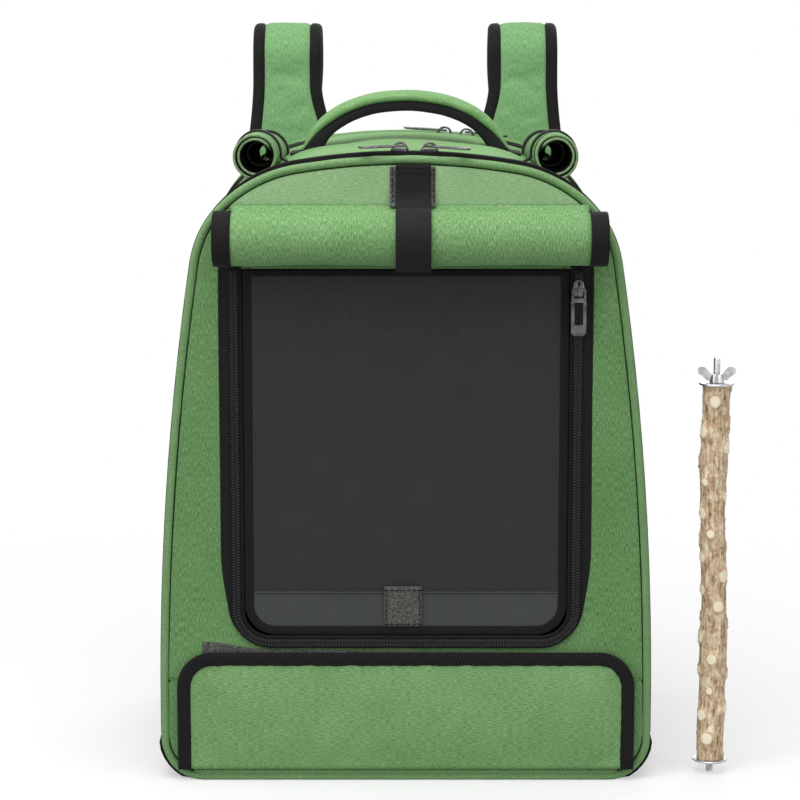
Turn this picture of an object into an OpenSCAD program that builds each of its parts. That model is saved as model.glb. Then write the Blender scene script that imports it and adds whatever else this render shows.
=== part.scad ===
// Backpack carrier for a small bird, with its perch standing beside it.
// The frame: the origin is on the ground under the middle of the bag, the front looks along -Y,
// +X is to the right of someone who faces the front, and +Z is up. All lengths are in millimetres.
// The bag's outline, seen from the front, is made of arcs that meet smoothly. Every panel, tape
// and piping that follows the outline is the same outline moved in or out by a named distance.

/* [Bag] */
// Width at the widest level, low on the sides
bag_w = 346; // [300:2:400]
// Height at the top of the arch
bag_h = 448; // [430:2:480]
// Depth from the front panel's face to the back panel's face
bag_d = 240; // [200:5:280]
// Thickness of a laminated fabric panel
wall = 3; // [2:0.5:4]
// Level of the widest place
widest_z = 50; // [50:5:90]
// How far each side leans in up to its shoulder
lean = 24; // [14:1:30]
// Level where the sides turn into the shoulders
shoulder_z = 368; // [362:1:376]
// Radius of the shoulders
shoulder_r = 88; // [80:1:92]
// Radius of the two bottom corners
base_r = 30; // [20:1:40]
// How far the gusset sits inside the outline of the front and back panels
gusset_in = 3; // [2:0.5:5]
// Height of the base section that is sewn round the bottom
base_z = 72; // [64:1:90]
// Radius of the round piping on the front and back edges
piping_r = 2.8; // [2:0.2:3.4]

/* [Window in the front] */
// Half the distance between the two straight runs of the window's zip
win_x = 119.5; // [100:0.5:122]
// Level of the window zip's bottom run
win_low = 100; // [98:1:120]
// Level of the hinge seam at the top of the window door
win_top = 366; // [340:1:366]
// Corner radius of the window zip
win_r = 24; // [16:1:30]
// Width of the zip coil, both rows together
coil_w = 6; // [5:0.5:7]
// Height of the zip coil over its tape
coil_h = 2.2; // [1.8:0.1:2.6]
// Width of the zip tape outside the coil
tape_w = 11; // [10:0.5:16]
// Visible border of the door between the zip and the mesh
door_border = 6.5; // [4:0.5:12]

/* [Rolled covers] */
// Radius of the rolled front cover
front_roll_r = 20; // [16:0.5:24]
// Length of the rolled front cover
front_roll_w = 268; // [220:2:276]
// Radius of a rolled side cover
side_roll_r = 17; // [14:0.5:18]
// Length of a rolled side cover
side_roll_w = 184; // [150:2:190]
// Thickness of a rolled cover's cloth with its lining
cover_t = 2.4; // [2:0.1:3]
// Width of the webbing that holds a roll
webbing_w = 25; // [20:1:30]
// Thickness of webbing
webbing_t = 1.5; // [1.2:0.1:2]

/* [Tray flap] */
// Width of the flap with its binding
flap_w = 324; // [290:2:328]
// Level of the flap's top edge
flap_top = 93.5; // [80:0.5:94]
// Radius of the flap's two top corners
flap_r = 21; // [10:1:30]
// Width of the binding round the flap
binding_w = 10; // [8:0.5:12]

/* [Tray] */
// Outer width of the tray under its rim
tray_w = 252; // [220:2:260]
// Outer depth of the tray under its rim
tray_d = 200; // [160:2:205]
// Height of the tray
tray_h = 36; // [25:1:42]
// Wall of the tray
tray_wall = 1.6; // [1.2:0.1:2.4]

/* [Handle] */
// Distance between the two feet of the handle
handle_span = 140; // [120:2:160]
// Height of the handle's crest over its feet
handle_rise = 40; // [34:1:50]
// Width of the handle from front to back
handle_d = 34; // [24:1:40]
// Thickness of the padded upper half
handle_pad = 6; // [4:0.5:8]
// Thickness of the webbing on the underside
handle_web = 6; // [3:0.5:8]

/* [Shoulder straps] */
// Distance of each strap's middle from the bag's middle
strap_x = 92; // [84:1:96]
// Width of a strap
strap_w = 52; // [44:1:56]
// Thickness of a strap's padding
strap_t = 8; // [6:0.5:10]
// Level of the top of the fold
strap_top = 530; // [510:2:560]
// Radius of the fold at the top, at the middle of the strap
strap_fold = 24; // [18:1:30]

/* [Perch] */
// Distance of the perch's axis from the bag's middle
perch_x = 219; // [215:1:240]
// Distance of the perch's axis in front of the bag's middle
perch_y = 100; // [60:1:110]
// Length of the wooden branch
perch_l = 272; // [200:2:290]
// Mean radius of the branch
perch_r = 9; // [7:0.5:12]
// Radius of the threaded stud at each end
stud_r = 2.5; // [2:0.5:3]
// Free length of the upper stud
stud_up = 19; // [16:1:24]
// Free length of the lower stud
stud_down = 10; // [8:1:16]
// Radius of the flat washers
washer_r = 12.5; // [10:0.5:16]
// Radial play between the wing nut and the stud
nut_play = 0.08; // [0.05:0.01:0.1]

/* [Hidden] */

green = [0.38, 0.62, 0.32];
black = [0.07, 0.07, 0.08];
grey = [0.22, 0.23, 0.24];
metal = [0.35, 0.35, 0.37];
steel = [0.75, 0.76, 0.77];
wood = [0.66, 0.49, 0.33];

front_y = -bag_d / 2;          // face of the front panel
back_y = bag_d / 2;            // face of the back panel
seat_gap = 0.3;                // between pieces on different bodies
hinge_z = 8;                   // level of the front cover's bottom seam
cover_back = front_y + wall;   // back face of the front panel
ring_front = cover_back + seat_gap;
tape_depth = 12.4;             // how wide each arch zip's tape is, front to back
tape_in = gusset_in + 0.6;     // outer face of an arch zip's tape
tape_t = 1.6;                  // thickness of an arch zip's tape
zip_y = 109;                   // distance of each arch zip's middle from the bag's middle
ring_back = back_y - wall;

// ---------- plane geometry ----------

function dir(a) = [cos(a), sin(a)];
function arc(c, r, from, to, n, skip = 0) =
  [for (i = [skip:n]) c + r * dir(from + (to - from) * i / n)];
function unit(v) = v / norm(v);
function reversed(p) = [for (i = [len(p) - 1:-1:0]) p[i]];
function mirrored(p) = [for (q = reversed(p)) [-q.x, q.y]];
function normal_at(p, i) =
  let (d = unit(p[min(i + 1, len(p) - 1)] - p[max(i - 1, 0)])) [-d.y, d.x];
function shifted(p, g) = [for (i = [0:len(p) - 1]) p[i] + g * normal_at(p, i)];
function ribbon(p, g0, g1) = concat(shifted(p, g1), reversed(shifted(p, g0)));

// The bag's outline: corner, straight, side arc, shoulder arc and crown arc on the right half.
lean_a = 2 * atan(lean / (shoulder_z - widest_z));
side_r = (shoulder_z - widest_z) / sin(lean_a);
side_c = [bag_w / 2 - side_r, widest_z];
shoulder_c = [bag_w / 2 - lean, shoulder_z] - shoulder_r * dir(lean_a);
crown_drop = bag_h - shoulder_c.y;
crown_r = (crown_drop ^ 2 + shoulder_c.x ^ 2 - shoulder_r ^ 2) / (2 * (crown_drop - shoulder_r));
crown_c = [0, bag_h - crown_r];
crown_a = atan2(shoulder_c.y - crown_c.y, shoulder_c.x);
corner_c = [bag_w / 2 - base_r, base_r];

function corner_run(g) = arc(corner_c, base_r - g, -90, 0, 8);
function upper_run(g) = concat(
  arc(side_c, side_r - g, 0, lean_a, 5),
  arc(shoulder_c, shoulder_r - g, lean_a, crown_a, 12, 1),
  arc(crown_c, crown_r - g, crown_a, 90, 6, 1));
function half_outline(g) = concat(corner_run(g), upper_run(g));
function outline(g = 0) =
  let (h = half_outline(g)) concat(h, mirrored([for (i = [0:len(h) - 2]) h[i]]));
// A window shape: a square top and two round bottom corners.
function window(x, low, top, r) = concat([[x, top], [-x, top]],
  arc([-x + r, low + r], r, 180, 270, 8), arc([x - r, low + r], r, 270, 360, 8));

// ---------- solids from plane shapes ----------

// Extrudes an XZ shape between two levels of Y.
module slab(y0, y1) {
  translate([0, y1, 0]) rotate([90, 0, 0]) linear_extrude(y1 - y0) children();
}
// Extrudes a YZ shape between two levels of X.
module across(x0, x1) {
  translate([x0, 0, 0]) rotate([90, 0, 90]) linear_extrude(x1 - x0) children();
}
module region(x0, x1, z0, z1) {
  translate([x0, z0]) square([x1 - x0, z1 - z0]);
}
module band(g0, g1) {
  difference() {
    polygon(outline(g0));
    polygon(outline(g1));
  }
}
module ring(g0, g1, y0, y1, x0, x1, z0, z1) {
  slab(y0, y1) intersection() {
    band(g0, g1);
    region(x0, x1, z0, z1);
  }
}
module frame_of(outer, inner) {
  difference() {
    polygon(outer);
    polygon(inner);
  }
}
module both_sides() {
  children();
  mirror([1, 0, 0]) children();
}
// A box between two corners.
module block(a, b) {
  translate(a) cube(b - a);
}

// The round piping on an edge: the whole outline swept by a small circle round the level y,
// cut flat at the ground and fitted round the panel that it edges.
cord_sides = 8;
module edge_cord(y) {
  loops = [for (j = [0:cord_sides - 1]) let (a = 360 * (j + 0.5) / cord_sides)
    [for (p = outline(piping_r - 1 - piping_r * sin(a))) [p.x, y + piping_r * cos(a), p.y]]];
  n = len(loops[0]);
  faces = [for (i = [0:n - 1], j = [0:cord_sides - 1], k = [0, 1])
    let (a = j * n + i, b = j * n + (i + 1) % n,
      c = ((j + 1) % cord_sides) * n + (i + 1) % n, d = ((j + 1) % cord_sides) * n + i)
    k == 0 ? [a, c, b] : [a, d, c]];
  difference() {
    polyhedron([for (l = loops) each l], faces);
    block([-bag_w, y - 9, -9], [bag_w, y + 9, 0]);
  }
}

// ---------- base, gussets and back ----------

module base_section() color(green) union() {
  ring(gusset_in, gusset_in + wall, ring_front, ring_back, -bag_w, bag_w, 0, base_z);
  slab(ring_front, ring_back) intersection() {
    polygon(outline(0));
    region(-bag_w, bag_w, 0, gusset_in);
  }
  slab(front_y, ring_front) intersection() {
    band(0, gusset_in + wall);
    region(-bag_w, bag_w, 0, hinge_z - seat_gap);
  }
}

board_t = 3;
board_z = gusset_in + wall;    // the base's inner floor
module base_board() color(grey)
  block([-bag_w / 2 + base_r, ring_front + 4, board_z],
    [bag_w / 2 - base_r, ring_back - board_t - 1, board_z + board_t]);

cord_front = front_y + 1.2;
cord_back = back_y - 1.2;
// The part of the front piping below the cover's seam, which stays with the base.
module base_piping() color(green) difference() {
  edge_cord(cord_front);
  slab(front_y, cord_front + 9) polygon(outline(0));
  block([-bag_w, ring_front, -9], [bag_w, ring_front + 9, bag_h]);
  block([-bag_w, front_y - 9, hinge_z - seat_gap], [bag_w, ring_front + 9, bag_h + 9]);
}

// Side window: a rectangle in the side gusset, from side_low to side_high and side_d deep.
side_low = 112;
side_high = 366;
side_d = 160;
split_z = 424;                 // seam between the side gussets and the top gusset
module gusset(s) color(green) difference() {
  ring(gusset_in, gusset_in + wall, -zip_y + tape_depth / 2, zip_y - tape_depth / 2,
    s < 0 ? -bag_w : 0, s < 0 ? 0 : bag_w, base_z, split_z);
  block([-bag_w, -side_d / 2, side_low], [bag_w, side_d / 2, side_high]);
}
module gusset_left() gusset(-1);
module gusset_right() gusset(1);
module gusset_top() color(green)
  ring(gusset_in, gusset_in + wall, -zip_y + tape_depth / 2, zip_y - tape_depth / 2,
    -bag_w, bag_w, split_z, bag_h);

module side_mesh(s) color(grey)
  ring(gusset_in + 1, gusset_in + 2, -side_d / 2, side_d / 2,
    s < 0 ? -bag_w : 0, s < 0 ? 0 : bag_w, side_low, side_high);
module side_mesh_left() side_mesh(-1);
module side_mesh_right() side_mesh(1);

module side_window_bindings() color(black) difference() {
  ring(gusset_in - 1, gusset_in, -side_d / 2 - binding_w, side_d / 2 + binding_w,
    -bag_w, bag_w, side_low - binding_w, side_high + binding_w);
  block([-bag_w, -side_d / 2, side_low], [bag_w, side_d / 2, side_high]);
}

module back_panel() color(green)
  slab(ring_back, back_y) polygon(outline(0));
module back_board() color(grey)
  slab(ring_back - board_t, ring_back) intersection() {
    polygon(outline(gusset_in + wall + 2));
    region(-bag_w, bag_w, board_z + board_t + 1, bag_h - 60);
  }

// A closed solid between a flat back at the level y and a grid of points in front of it, which
// lie towards +Y where out is 1 and towards -Y where it is -1.
module crowned(rows, y, out) {
  n = len(rows[0]);
  m = len(rows);
  rim = concat([for (j = [0:n - 1]) j], [for (i = [1:m - 1]) i * n + n - 1],
    [for (j = [n - 2:-1:0]) (m - 1) * n + j], [for (i = [m - 2:-1:1]) i * n]);
  top = [for (r = rows) each r];
  base = [for (k = rim) [top[k].x, y, top[k].z]];
  count = len(rim);
  faces = concat(
    [for (i = [0:m - 2], j = [0:n - 2], k = [0, 1]) let (a = i * n + j, b = a + 1, c = a + n)
      k == 0 ? [a, b, c + 1] : [a, c + 1, c]],
    [for (k = [0:count - 1]) let (l = (k + 1) % count)
      [rim[l], rim[k], m * n + k, m * n + l]],
    [[for (k = [count - 1:-1:0]) m * n + k]]);
  polyhedron(concat(top, base), out > 0 ? faces : [for (f = faces) reversed(f)]);
}
// Half the width of a rectangle with round corners, at a distance from its nearer end.
function round_half(w, r, d) = w / 2 - (d < r ? r - sqrt(r ^ 2 - (r - d) ^ 2) : 0);
function soft_step(t) = let (u = max(0, min(1, t))) u * u * (3 - 2 * u);

// The back pad: three crowned ribs of air mesh between two sewn channels.
pad_w = 180;
pad_low = 60;
pad_high = 392;
pad_t = 9;
pad_seam_t = 2;                // thickness in the channels and at the edge
pad_round = 18;
pad_ribs = 3;
pad_cols = 27;                 // a multiple of the number of ribs
pad_rows = 22;
function pad_level(i) = pad_low + (pad_high - pad_low) * (1 - cos(180 * i / pad_rows)) / 2;
function pad_height(u, z) = let (f = u * pad_ribs - floor(u * pad_ribs),
    d = min(z - pad_low, pad_high - z))
  pad_seam_t + (pad_t - pad_seam_t) * sqrt(max(0, 4 * f * (1 - f))) * soft_step(d / 26);
module back_pad() color(black)
  crowned([for (i = [0:pad_rows]) let (z = pad_level(i),
      half = round_half(pad_w, pad_round, max(0.6, min(z - pad_low, pad_high - z))))
    [for (j = [0:pad_cols]) let (u = j / pad_cols)
      [(2 * u - 1) * half, back_y + pad_height(min(u, 0.9999), z), z]]], back_y, 1);
// A rectangle with round corners, centred on X and standing on its own X axis.
module rounded(w, h, r) {
  polygon(concat(arc([w / 2 - r, r], r, -90, 0, 6), arc([w / 2 - r, h - r], r, 0, 90, 6),
    arc([-w / 2 + r, h - r], r, 90, 180, 6), arc([-w / 2 + r, r], r, 180, 270, 6)));
}

module back_piping() color(green) difference() {
  edge_cord(cord_back);
  slab(ring_back, back_y) polygon(outline(0));
  slab(0, ring_back) polygon(outline(0));
}

yoke_low = 404;
module strap_yoke() color(black)
  slab(back_y, back_y + 1.2) intersection() {
    polygon(outline(6));
    region(-bag_w, bag_w, yoke_low, bag_h);
  }

// ---------- zips round the arch ----------

coil_gap = 0.5;                // groove between the two rows of a coil
module arch_tape(y) color(black)
  ring(tape_in, tape_in + tape_t, y - tape_depth / 2, y + tape_depth / 2,
    -bag_w, bag_w, base_z, bag_h);
module arch_coil(y) color(black) for (s = [-1, 1])
  ring(tape_in - coil_h, tape_in, y + (s < 0 ? -coil_w / 2 : coil_gap / 2),
    y + (s < 0 ? -coil_gap / 2 : coil_w / 2), -bag_w, bag_w, base_z, bag_h);
module main_zip_tape() arch_tape(-zip_y);
module main_zip_coil() arch_coil(-zip_y);
module back_zip_tape() arch_tape(zip_y);
module back_zip_coil() arch_coil(zip_y);

// A slider: a plate with two side flanges over the coil and a bail on top. Its own frame has
// the travel along X, the plate's underside at z = 0 and the zip's middle at y = 0.
slider_l = 12;
slider_play = 0.35;
flange_t = 1.1;
plate_t = 1.5;
bail_r = 3.3;                  // inside radius of the bail
bail_w = 1.5;                  // thickness of the bail's wire
bail_stretch = 1.15;           // how much longer the bail is than a half circle
slider_half = coil_w / 2 + slider_play + flange_t;
// The plate seen from above: round and wide at the mouth, narrower at the tail.
module slider_plate() {
  polygon(concat(
    arc([slider_l / 2 - slider_half, 0], slider_half, -90, 90, 10),
    arc([-slider_l / 2 + slider_half - 1, 0], slider_half - 0.4, 130, 230, 6)));
}
module slider() color(metal) {
  linear_extrude(plate_t) slider_plate();
  translate([0, 0, -coil_h + 0.2]) linear_extrude(coil_h) difference() {
    slider_plate();
    region(-slider_l, slider_l, -coil_w / 2 - slider_play, coil_w / 2 + slider_play);
  }
  translate([0, bail_w / 2, plate_t - 0.2]) rotate([90, 0, 0]) linear_extrude(bail_w)
    difference() {
      scale([bail_stretch, 1]) intersection() {
        circle(bail_r + bail_w, $fn = 48);
        region(-slider_l, slider_l, 0, slider_l);
      }
      scale([bail_stretch, 1]) circle(bail_r, $fn = 48);
    }
}

// A pull: a flat frame whose end bar lies in the slider's bail. Its own frame has the bar's
// middle at the origin, the hinge axis along Y, and the pull reaching along +X at z = 0.
pull_l = 32;
pull_w = 10.5;
pull_t = 1.4;
bar_half = 0.75;               // half the width of the bar in the bail
eye_l = 5;                     // length of the eye that the bail passes through
eye_half = 3.75;               // half the eye's width
head_half = 4.9;               // half the width of the head round the eye
module pull() color(metal) {
  frame_l = bar_half + eye_l + 2;
  translate([0, 0, -pull_t / 2]) linear_extrude(pull_t) difference() {
    polygon([[-bar_half, -head_half], [frame_l - 1, -head_half], [frame_l + 1, -pull_w / 2],
      [pull_l - 2, -pull_w / 2], [pull_l, -pull_w / 2 + 2], [pull_l, pull_w / 2 - 2],
      [pull_l - 2, pull_w / 2], [frame_l + 1, pull_w / 2], [frame_l - 1, head_half],
      [-bar_half, head_half]]);
    region(bar_half, bar_half + eye_l, -eye_half, eye_half);
    region(frame_l + 1, pull_l - 7.5, -pull_w / 2 + 2.2, pull_w / 2 - 2.2);
  }
}

// Seats a piece on an arch zip, at a distance along the crown from its top.
crown_coil_r = crown_r - tape_in + coil_h;
module on_crown(at, y) {
  translate([crown_c.x, y, crown_c.y]) rotate([0, at / crown_coil_r * 180 / PI, 0])
    translate([0, 0, crown_coil_r + slider_play]) children();
}
// The eye hangs on the bail, pull_z over the slider's plate.
pull_z = plate_t + bail_r - 1.5;
main_at = [-4, 16.5];          // places of the two main sliders along the crown
back_at = [30.3, 47.4];        // places of the two back sliders
pull_turn = [212, -36, 192, -12];  // headings of the four pulls, seen from above

module crown_slider(at, y) on_crown(at, y) slider();
module crown_pull(at, y, turn) on_crown(at, y) translate([0, 0, pull_z])
  rotate([0, 0, turn]) pull();
module main_slider_left() crown_slider(main_at[0], -zip_y);
module main_slider_right() crown_slider(main_at[1], -zip_y);
module back_slider_left() crown_slider(back_at[0], zip_y);
module back_slider_right() crown_slider(back_at[1], zip_y);
module main_pull_left() crown_pull(main_at[0], -zip_y, pull_turn[0]);
module main_pull_right() crown_pull(main_at[1], -zip_y, pull_turn[1]);
module back_pull_left() crown_pull(back_at[0], zip_y, pull_turn[2]);
module back_pull_right() crown_pull(back_at[1], zip_y, pull_turn[3]);

// ---------- rolled side covers ----------

// A rolled cloth, seen from its end: a spiral from the core out to the radius r.
module spiral(r, core, turns, t, end_a) {
  steps = round(turns * 24);
  function radius(i) = core + (r - t / 2 - core) * i / steps;
  function heading(i) = end_a - turns * 360 * (1 - i / steps);
  polygon(concat(
    [for (i = [0:steps]) (radius(i) + t / 2) * dir(heading(i))],
    [for (i = [steps:-1:0]) (radius(i) - t / 2) * dir(heading(i))]));
}
side_roll_a = 64;              // where on the shoulder the roll lies, from level
side_roll_c = shoulder_c + (shoulder_r - gusset_in + side_roll_r + 0.2) * dir(side_roll_a);
side_roll_core = 9.5;
side_roll_turns = 1.9;
roll_strap_y = 62;             // distance of each side roll's webbing from the bag's middle

module side_roll() color(green) slab(-side_roll_w / 2, side_roll_w / 2)
  translate(side_roll_c) spiral(side_roll_r, side_roll_core, side_roll_turns, cover_t,
    side_roll_a - 180);
module side_roll_right() side_roll();
module side_roll_left() mirror([1, 0, 0]) side_roll();

// A webbing loop round each end of a side roll, sewn down beside it.
module side_roll_straps() color(black) both_sides() for (s = [-1, 1])
  slab(s * roll_strap_y - webbing_w / 4, s * roll_strap_y + webbing_w / 4)
    translate(side_roll_c) difference() {
      circle(side_roll_r + 0.3 + webbing_t, $fn = 72);
      circle(side_roll_r + 0.3, $fn = 72);
      translate(-side_roll_c) polygon(outline(gusset_in));
    }

// ---------- handle ----------

handle_r = ((handle_span / 2) ^ 2 + handle_rise ^ 2) / (2 * handle_rise);
handle_half_a = asin(handle_span / 2 / handle_r);
handle_foot_z = 444;
handle_c = [0, handle_foot_z + handle_rise - handle_r];
tab_t = 1.5;                   // thickness of the tabs that the feet are sewn to
// A band of the handle's arch between two radii, cut to sit on the tabs.
module handle_band(r0, r1, d) {
  slab(-d / 2, d / 2) difference() {
    translate(handle_c) polygon(concat(
      arc([0, 0], r1, 90 - handle_half_a, 90 + handle_half_a, 24),
      arc([0, 0], r0, 90 + handle_half_a, 90 - handle_half_a, 24)));
    polygon(outline(gusset_in - tab_t));
  }
}
module handle_padding() color(green) difference() {
  handle_band(handle_r - handle_pad, handle_r, handle_d);
  for (s = [-1, 1]) translate([0, s * handle_d / 2, handle_c.y + handle_r])
    rotate([45, 0, 0]) cube([handle_span * 2, 3, 3], center = true);
}
module handle_webbing() color(black)
  handle_band(handle_r - handle_pad - handle_web, handle_r - handle_pad, handle_d - 4);

// A webbing tab under each foot, sewn flat on the top gusset.
module handle_tabs() color(black) both_sides() slab(-handle_d / 2, handle_d / 2) intersection() {
  band(gusset_in - tab_t, gusset_in);
  region(handle_span / 2 - 20, handle_span / 2 + 12, bag_h / 2, bag_h);
}

// ---------- tray ----------

tray_z = board_z + board_t;
tray_front = front_y + wall + 6;
rim = 5;                       // how far the tray's rim reaches out at the sides and the back
front_rim = rim / 2;
tray_r = 16;                   // radius of the tray's upright corners
// The tray's plan, grown by a distance at its sides and back and by another in front.
module tray_plan(grow, front, low, high) {
  translate([0, tray_front - front, low]) linear_extrude(high - low)
    rounded(tray_w + 2 * grow, tray_d + front + grow, tray_r + grow);
}
module tray() color(steel) difference() {
  union() {
    tray_plan(0, 0, tray_z, tray_z + tray_h);
    tray_plan(rim, front_rim, tray_z + tray_h - tray_wall, tray_z + tray_h);
  }
  tray_plan(-tray_wall, -tray_wall, tray_z + tray_wall, tray_z + tray_h + 1);
}

// ---------- shoulder straps ----------

// The strap seen from the side: up from the yoke, over the fold and down again.
strap_foot_z = yoke_low + 8;    // where the pad starts on the yoke
strap_lean = 15;               // how far the upright run stands off the back
strap_spread = 8;              // how much wider the loop is than its fold
strap_end_z = 300;             // level of the pad's free end
strap_foot = [back_y + 1.6 + strap_t / 2, strap_foot_z];
strap_up = [back_y + strap_lean, strap_top - strap_t / 2 - strap_fold];
strap_down = [strap_up.x + 2 * strap_fold + strap_spread, strap_end_z];
fold_c = strap_up + [strap_fold, 0];
strap_path = concat(
  [strap_foot, strap_foot + [0.5, 18], strap_foot + [3, 38]],
  arc(fold_c, strap_fold, 180, 0, 12),
  [strap_down + [-3, 120], strap_down + [0, 60], strap_down]);
module strap_side(g) {
  polygon(ribbon(strap_path, -strap_t / 2 - g, strap_t / 2 + g));
}
// The strap seen from the front, as [level, outer edge, inner edge], for its two runs.
half_w = strap_w / 2;
foot_out = 6;                  // how much wider the foot is on its outer side
foot_in = 19;                  // and on its inner side, where the strap curves in
foot_rise = 74;                // height over which the foot narrows to the strap's width
strap_splay = 14;              // how far the free end stands outside the strap's top
end_taper = 8;                 // how much narrower each side of the free end is
function foot_share(t) = 1 - soft_step(t);
front_edges = concat([for (i = [0:6]) let (t = i / 6)
    [strap_foot_z - 7 + (foot_rise + 7) * t, strap_x + half_w + foot_out * foot_share(t),
      strap_x - half_w - foot_in * foot_share(t)]],
  [[strap_top + 9, strap_x + half_w, strap_x - half_w]]);
strap_end_x = strap_x + strap_splay;
back_edges = concat(
  [[strap_end_z, strap_end_x + half_w - end_taper, strap_end_x - half_w + end_taper],
    [strap_end_z + 2 * end_taper, strap_end_x + half_w, strap_end_x - half_w]],
  [for (i = [0:4]) let (t = i / 4, x = strap_end_x - strap_splay * soft_step(t))
    [strap_end_z + 70 + (strap_up.y - strap_end_z - 70) * t, x + half_w, x - half_w]],
  [[strap_top + 9, strap_x + half_w, strap_x - half_w]]);
strap_edge = 8.5;              // width of the binding on a strap's edges
module edge_shape(rows, from, to) {
  polygon(concat([for (r = rows) [r[1] - from, r[0]]],
    [for (i = [len(rows) - 1:-1:0]) [rows[i][1] - to, rows[i][0]]]));
}
module pad_shape(rows) {
  polygon(concat([for (r = rows) [r[1] - strap_edge, r[0]]],
    [for (i = [len(rows) - 1:-1:0]) [rows[i][2] + strap_edge, rows[i][0]]]));
}
module binding_shape(rows) {
  edge_shape(rows, 0, strap_edge);
  polygon(concat([for (r = rows) [r[2] + strap_edge, r[0]]],
    [for (i = [len(rows) - 1:-1:0]) [rows[i][2], rows[i][0]]]));
}
module strap_pad() color(green) {
  intersection() {
    across(0, bag_w) strap_side(0);
    slab(back_y, fold_c.x) pad_shape(front_edges);
  }
  intersection() {
    across(0, bag_w) strap_side(0);
    slab(fold_c.x, fold_c.x + 2 * strap_fold + strap_t) pad_shape(back_edges);
  }
}
module strap_binding() color(black) {
  intersection() {
    across(0, bag_w) strap_side(0);
    slab(back_y, fold_c.x) binding_shape(front_edges);
  }
  intersection() {
    across(0, bag_w) strap_side(0);
    slab(fold_c.x, fold_c.x + 2 * strap_fold + strap_t) binding_shape(back_edges);
  }
}
module strap_pad_right() strap_pad();
module strap_pad_left() mirror([1, 0, 0]) strap_pad();
module strap_binding_right() strap_binding();
module strap_binding_left() mirror([1, 0, 0]) strap_binding();

// The ladder lock hangs under the pad on a short loop, and the long webbing runs through it
// down to an anchor at the bottom of the back.
lock_y = strap_down.x;
lock_h = 34;
lock_z = strap_end_z - 12 - lock_h;
lock_w = 34;
bar = 4;
slot = 7;
module ladder_lock() color(black) difference() {
  translate([strap_end_x, 0, 0]) slab(lock_y - 2, lock_y + 2)
    translate([0, lock_z]) rounded(lock_w, lock_h, 4);
  for (i = [0:2]) {
    z = lock_z + bar + i * (slot + bar - 0.5);
    block([strap_end_x - webbing_w / 2 - 1, lock_y - 9, z],
      [strap_end_x + webbing_w / 2 + 1, lock_y + 9, z + slot]);
  }
}
module ladder_locks() both_sides() ladder_lock();

lock_bar = [for (i = [0:3]) lock_z + bar / 2 + i * (slot + bar - 0.5)];
anchor = [back_y + webbing_t + 0.8, 44];
loop_r = 2 * sqrt(2) + 0.3 + webbing_t / 2;
// The upper loop goes from the pad's end round the top bar and back.
upper_loop = concat([[lock_y - loop_r, strap_end_z], [lock_y - loop_r, lock_bar[3]]],
  arc([lock_y, lock_bar[3]], loop_r, 180, 360, 10, 1), [[lock_y + loop_r, strap_end_z]]);
// The long webbing comes up in front, goes over the lowest free bar and hangs down behind.
long_web = concat([anchor, anchor + [1, 30], [lock_y - 26, lock_z - 60],
  [lock_y - loop_r - 3, lock_z - 10]],
  arc([lock_y, lock_bar[1]], loop_r, 180, 0, 10), [[lock_y + loop_r + 1, lock_z - 70]]);
module strap_webbing() color(black)
  across(strap_end_x - webbing_w / 2, strap_end_x + webbing_w / 2) {
    polygon(ribbon(upper_loop, -webbing_t / 2, webbing_t / 2));
    polygon(ribbon(long_web, -webbing_t / 2, webbing_t / 2));
  }
module strap_webbing_right() strap_webbing();
module strap_webbing_left() mirror([1, 0, 0]) strap_webbing();

// A sewn triangle on each lower corner of the back holds the webbing's end.
module strap_anchors() color(green) both_sides() {
  slab(back_y, back_y + 1.4) polygon([[strap_end_x - 20, 20], [strap_end_x + 34, 20],
    [strap_end_x + webbing_w / 2 + 2, 62], [strap_end_x - webbing_w / 2 - 2, 62]]);
}

// ---------- front cover ----------

module front_panel() color(green) slab(front_y, cover_back) difference() {
  polygon(outline(0));
  polygon(window(win_x + 3.2, win_low - 3.2, win_top + seat_gap, win_r + 3.2));
  region(-bag_w, bag_w, -1, hinge_z);
  region(-tray_w / 2 - rim - 2, tray_w / 2 + rim + 2, hinge_z + 6, tray_z + tray_h + 4);
}

module front_piping() color(green) difference() {
  edge_cord(cord_front);
  slab(front_y, cord_front + 9) polygon(outline(0));
  block([-bag_w, cover_back, -9], [bag_w, cover_back + 9, bag_h + 9]);
  block([-bag_w, front_y - 9, -9], [bag_w, cover_back + 9, hinge_z]);
}

tape_face = front_y - 0.8;     // front face of the window zip's tape
module window_zip_tape() color(black) slab(tape_face, front_y) intersection() {
  frame_of(window(win_x + tape_w, win_low - tape_w, win_top + 8, win_r + 6),
    window(win_x - coil_w / 2 - 2.5, win_low + coil_w / 2 + 2.5, win_top + seat_gap,
      win_r - coil_w / 2 - 2.5));
  region(-bag_w, bag_w, win_low - 5, win_top + 8);
}
module window_zip_coil() color(black) for (k = [0, 1]) {
  a = k == 0 ? coil_w / 2 : -coil_gap / 2;
  b = k == 0 ? coil_gap / 2 : -coil_w / 2;
  slab(tape_face - coil_h, tape_face) intersection() {
    frame_of(window(win_x + a, win_low - a, win_top + 9, win_r + a),
      window(win_x + b, win_low - b, win_top + 20, win_r + b));
    region(-bag_w, bag_w, 0, win_top - 1);
  }
}
window_slider_z = 352;
// The slider travels along -Z, and its plate's top looks along -Y.
module window_frame() {
  translate([win_x, tape_face - coil_h - slider_play, window_slider_z])
    multmatrix([[0, 1, 0, 0], [0, 0, -1, 0], [-1, 0, 0, 0], [0, 0, 0, 1]]) children();
}
module window_slider() window_frame() slider();
module window_pull() window_frame() translate([0, 0, pull_z]) pull();

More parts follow.
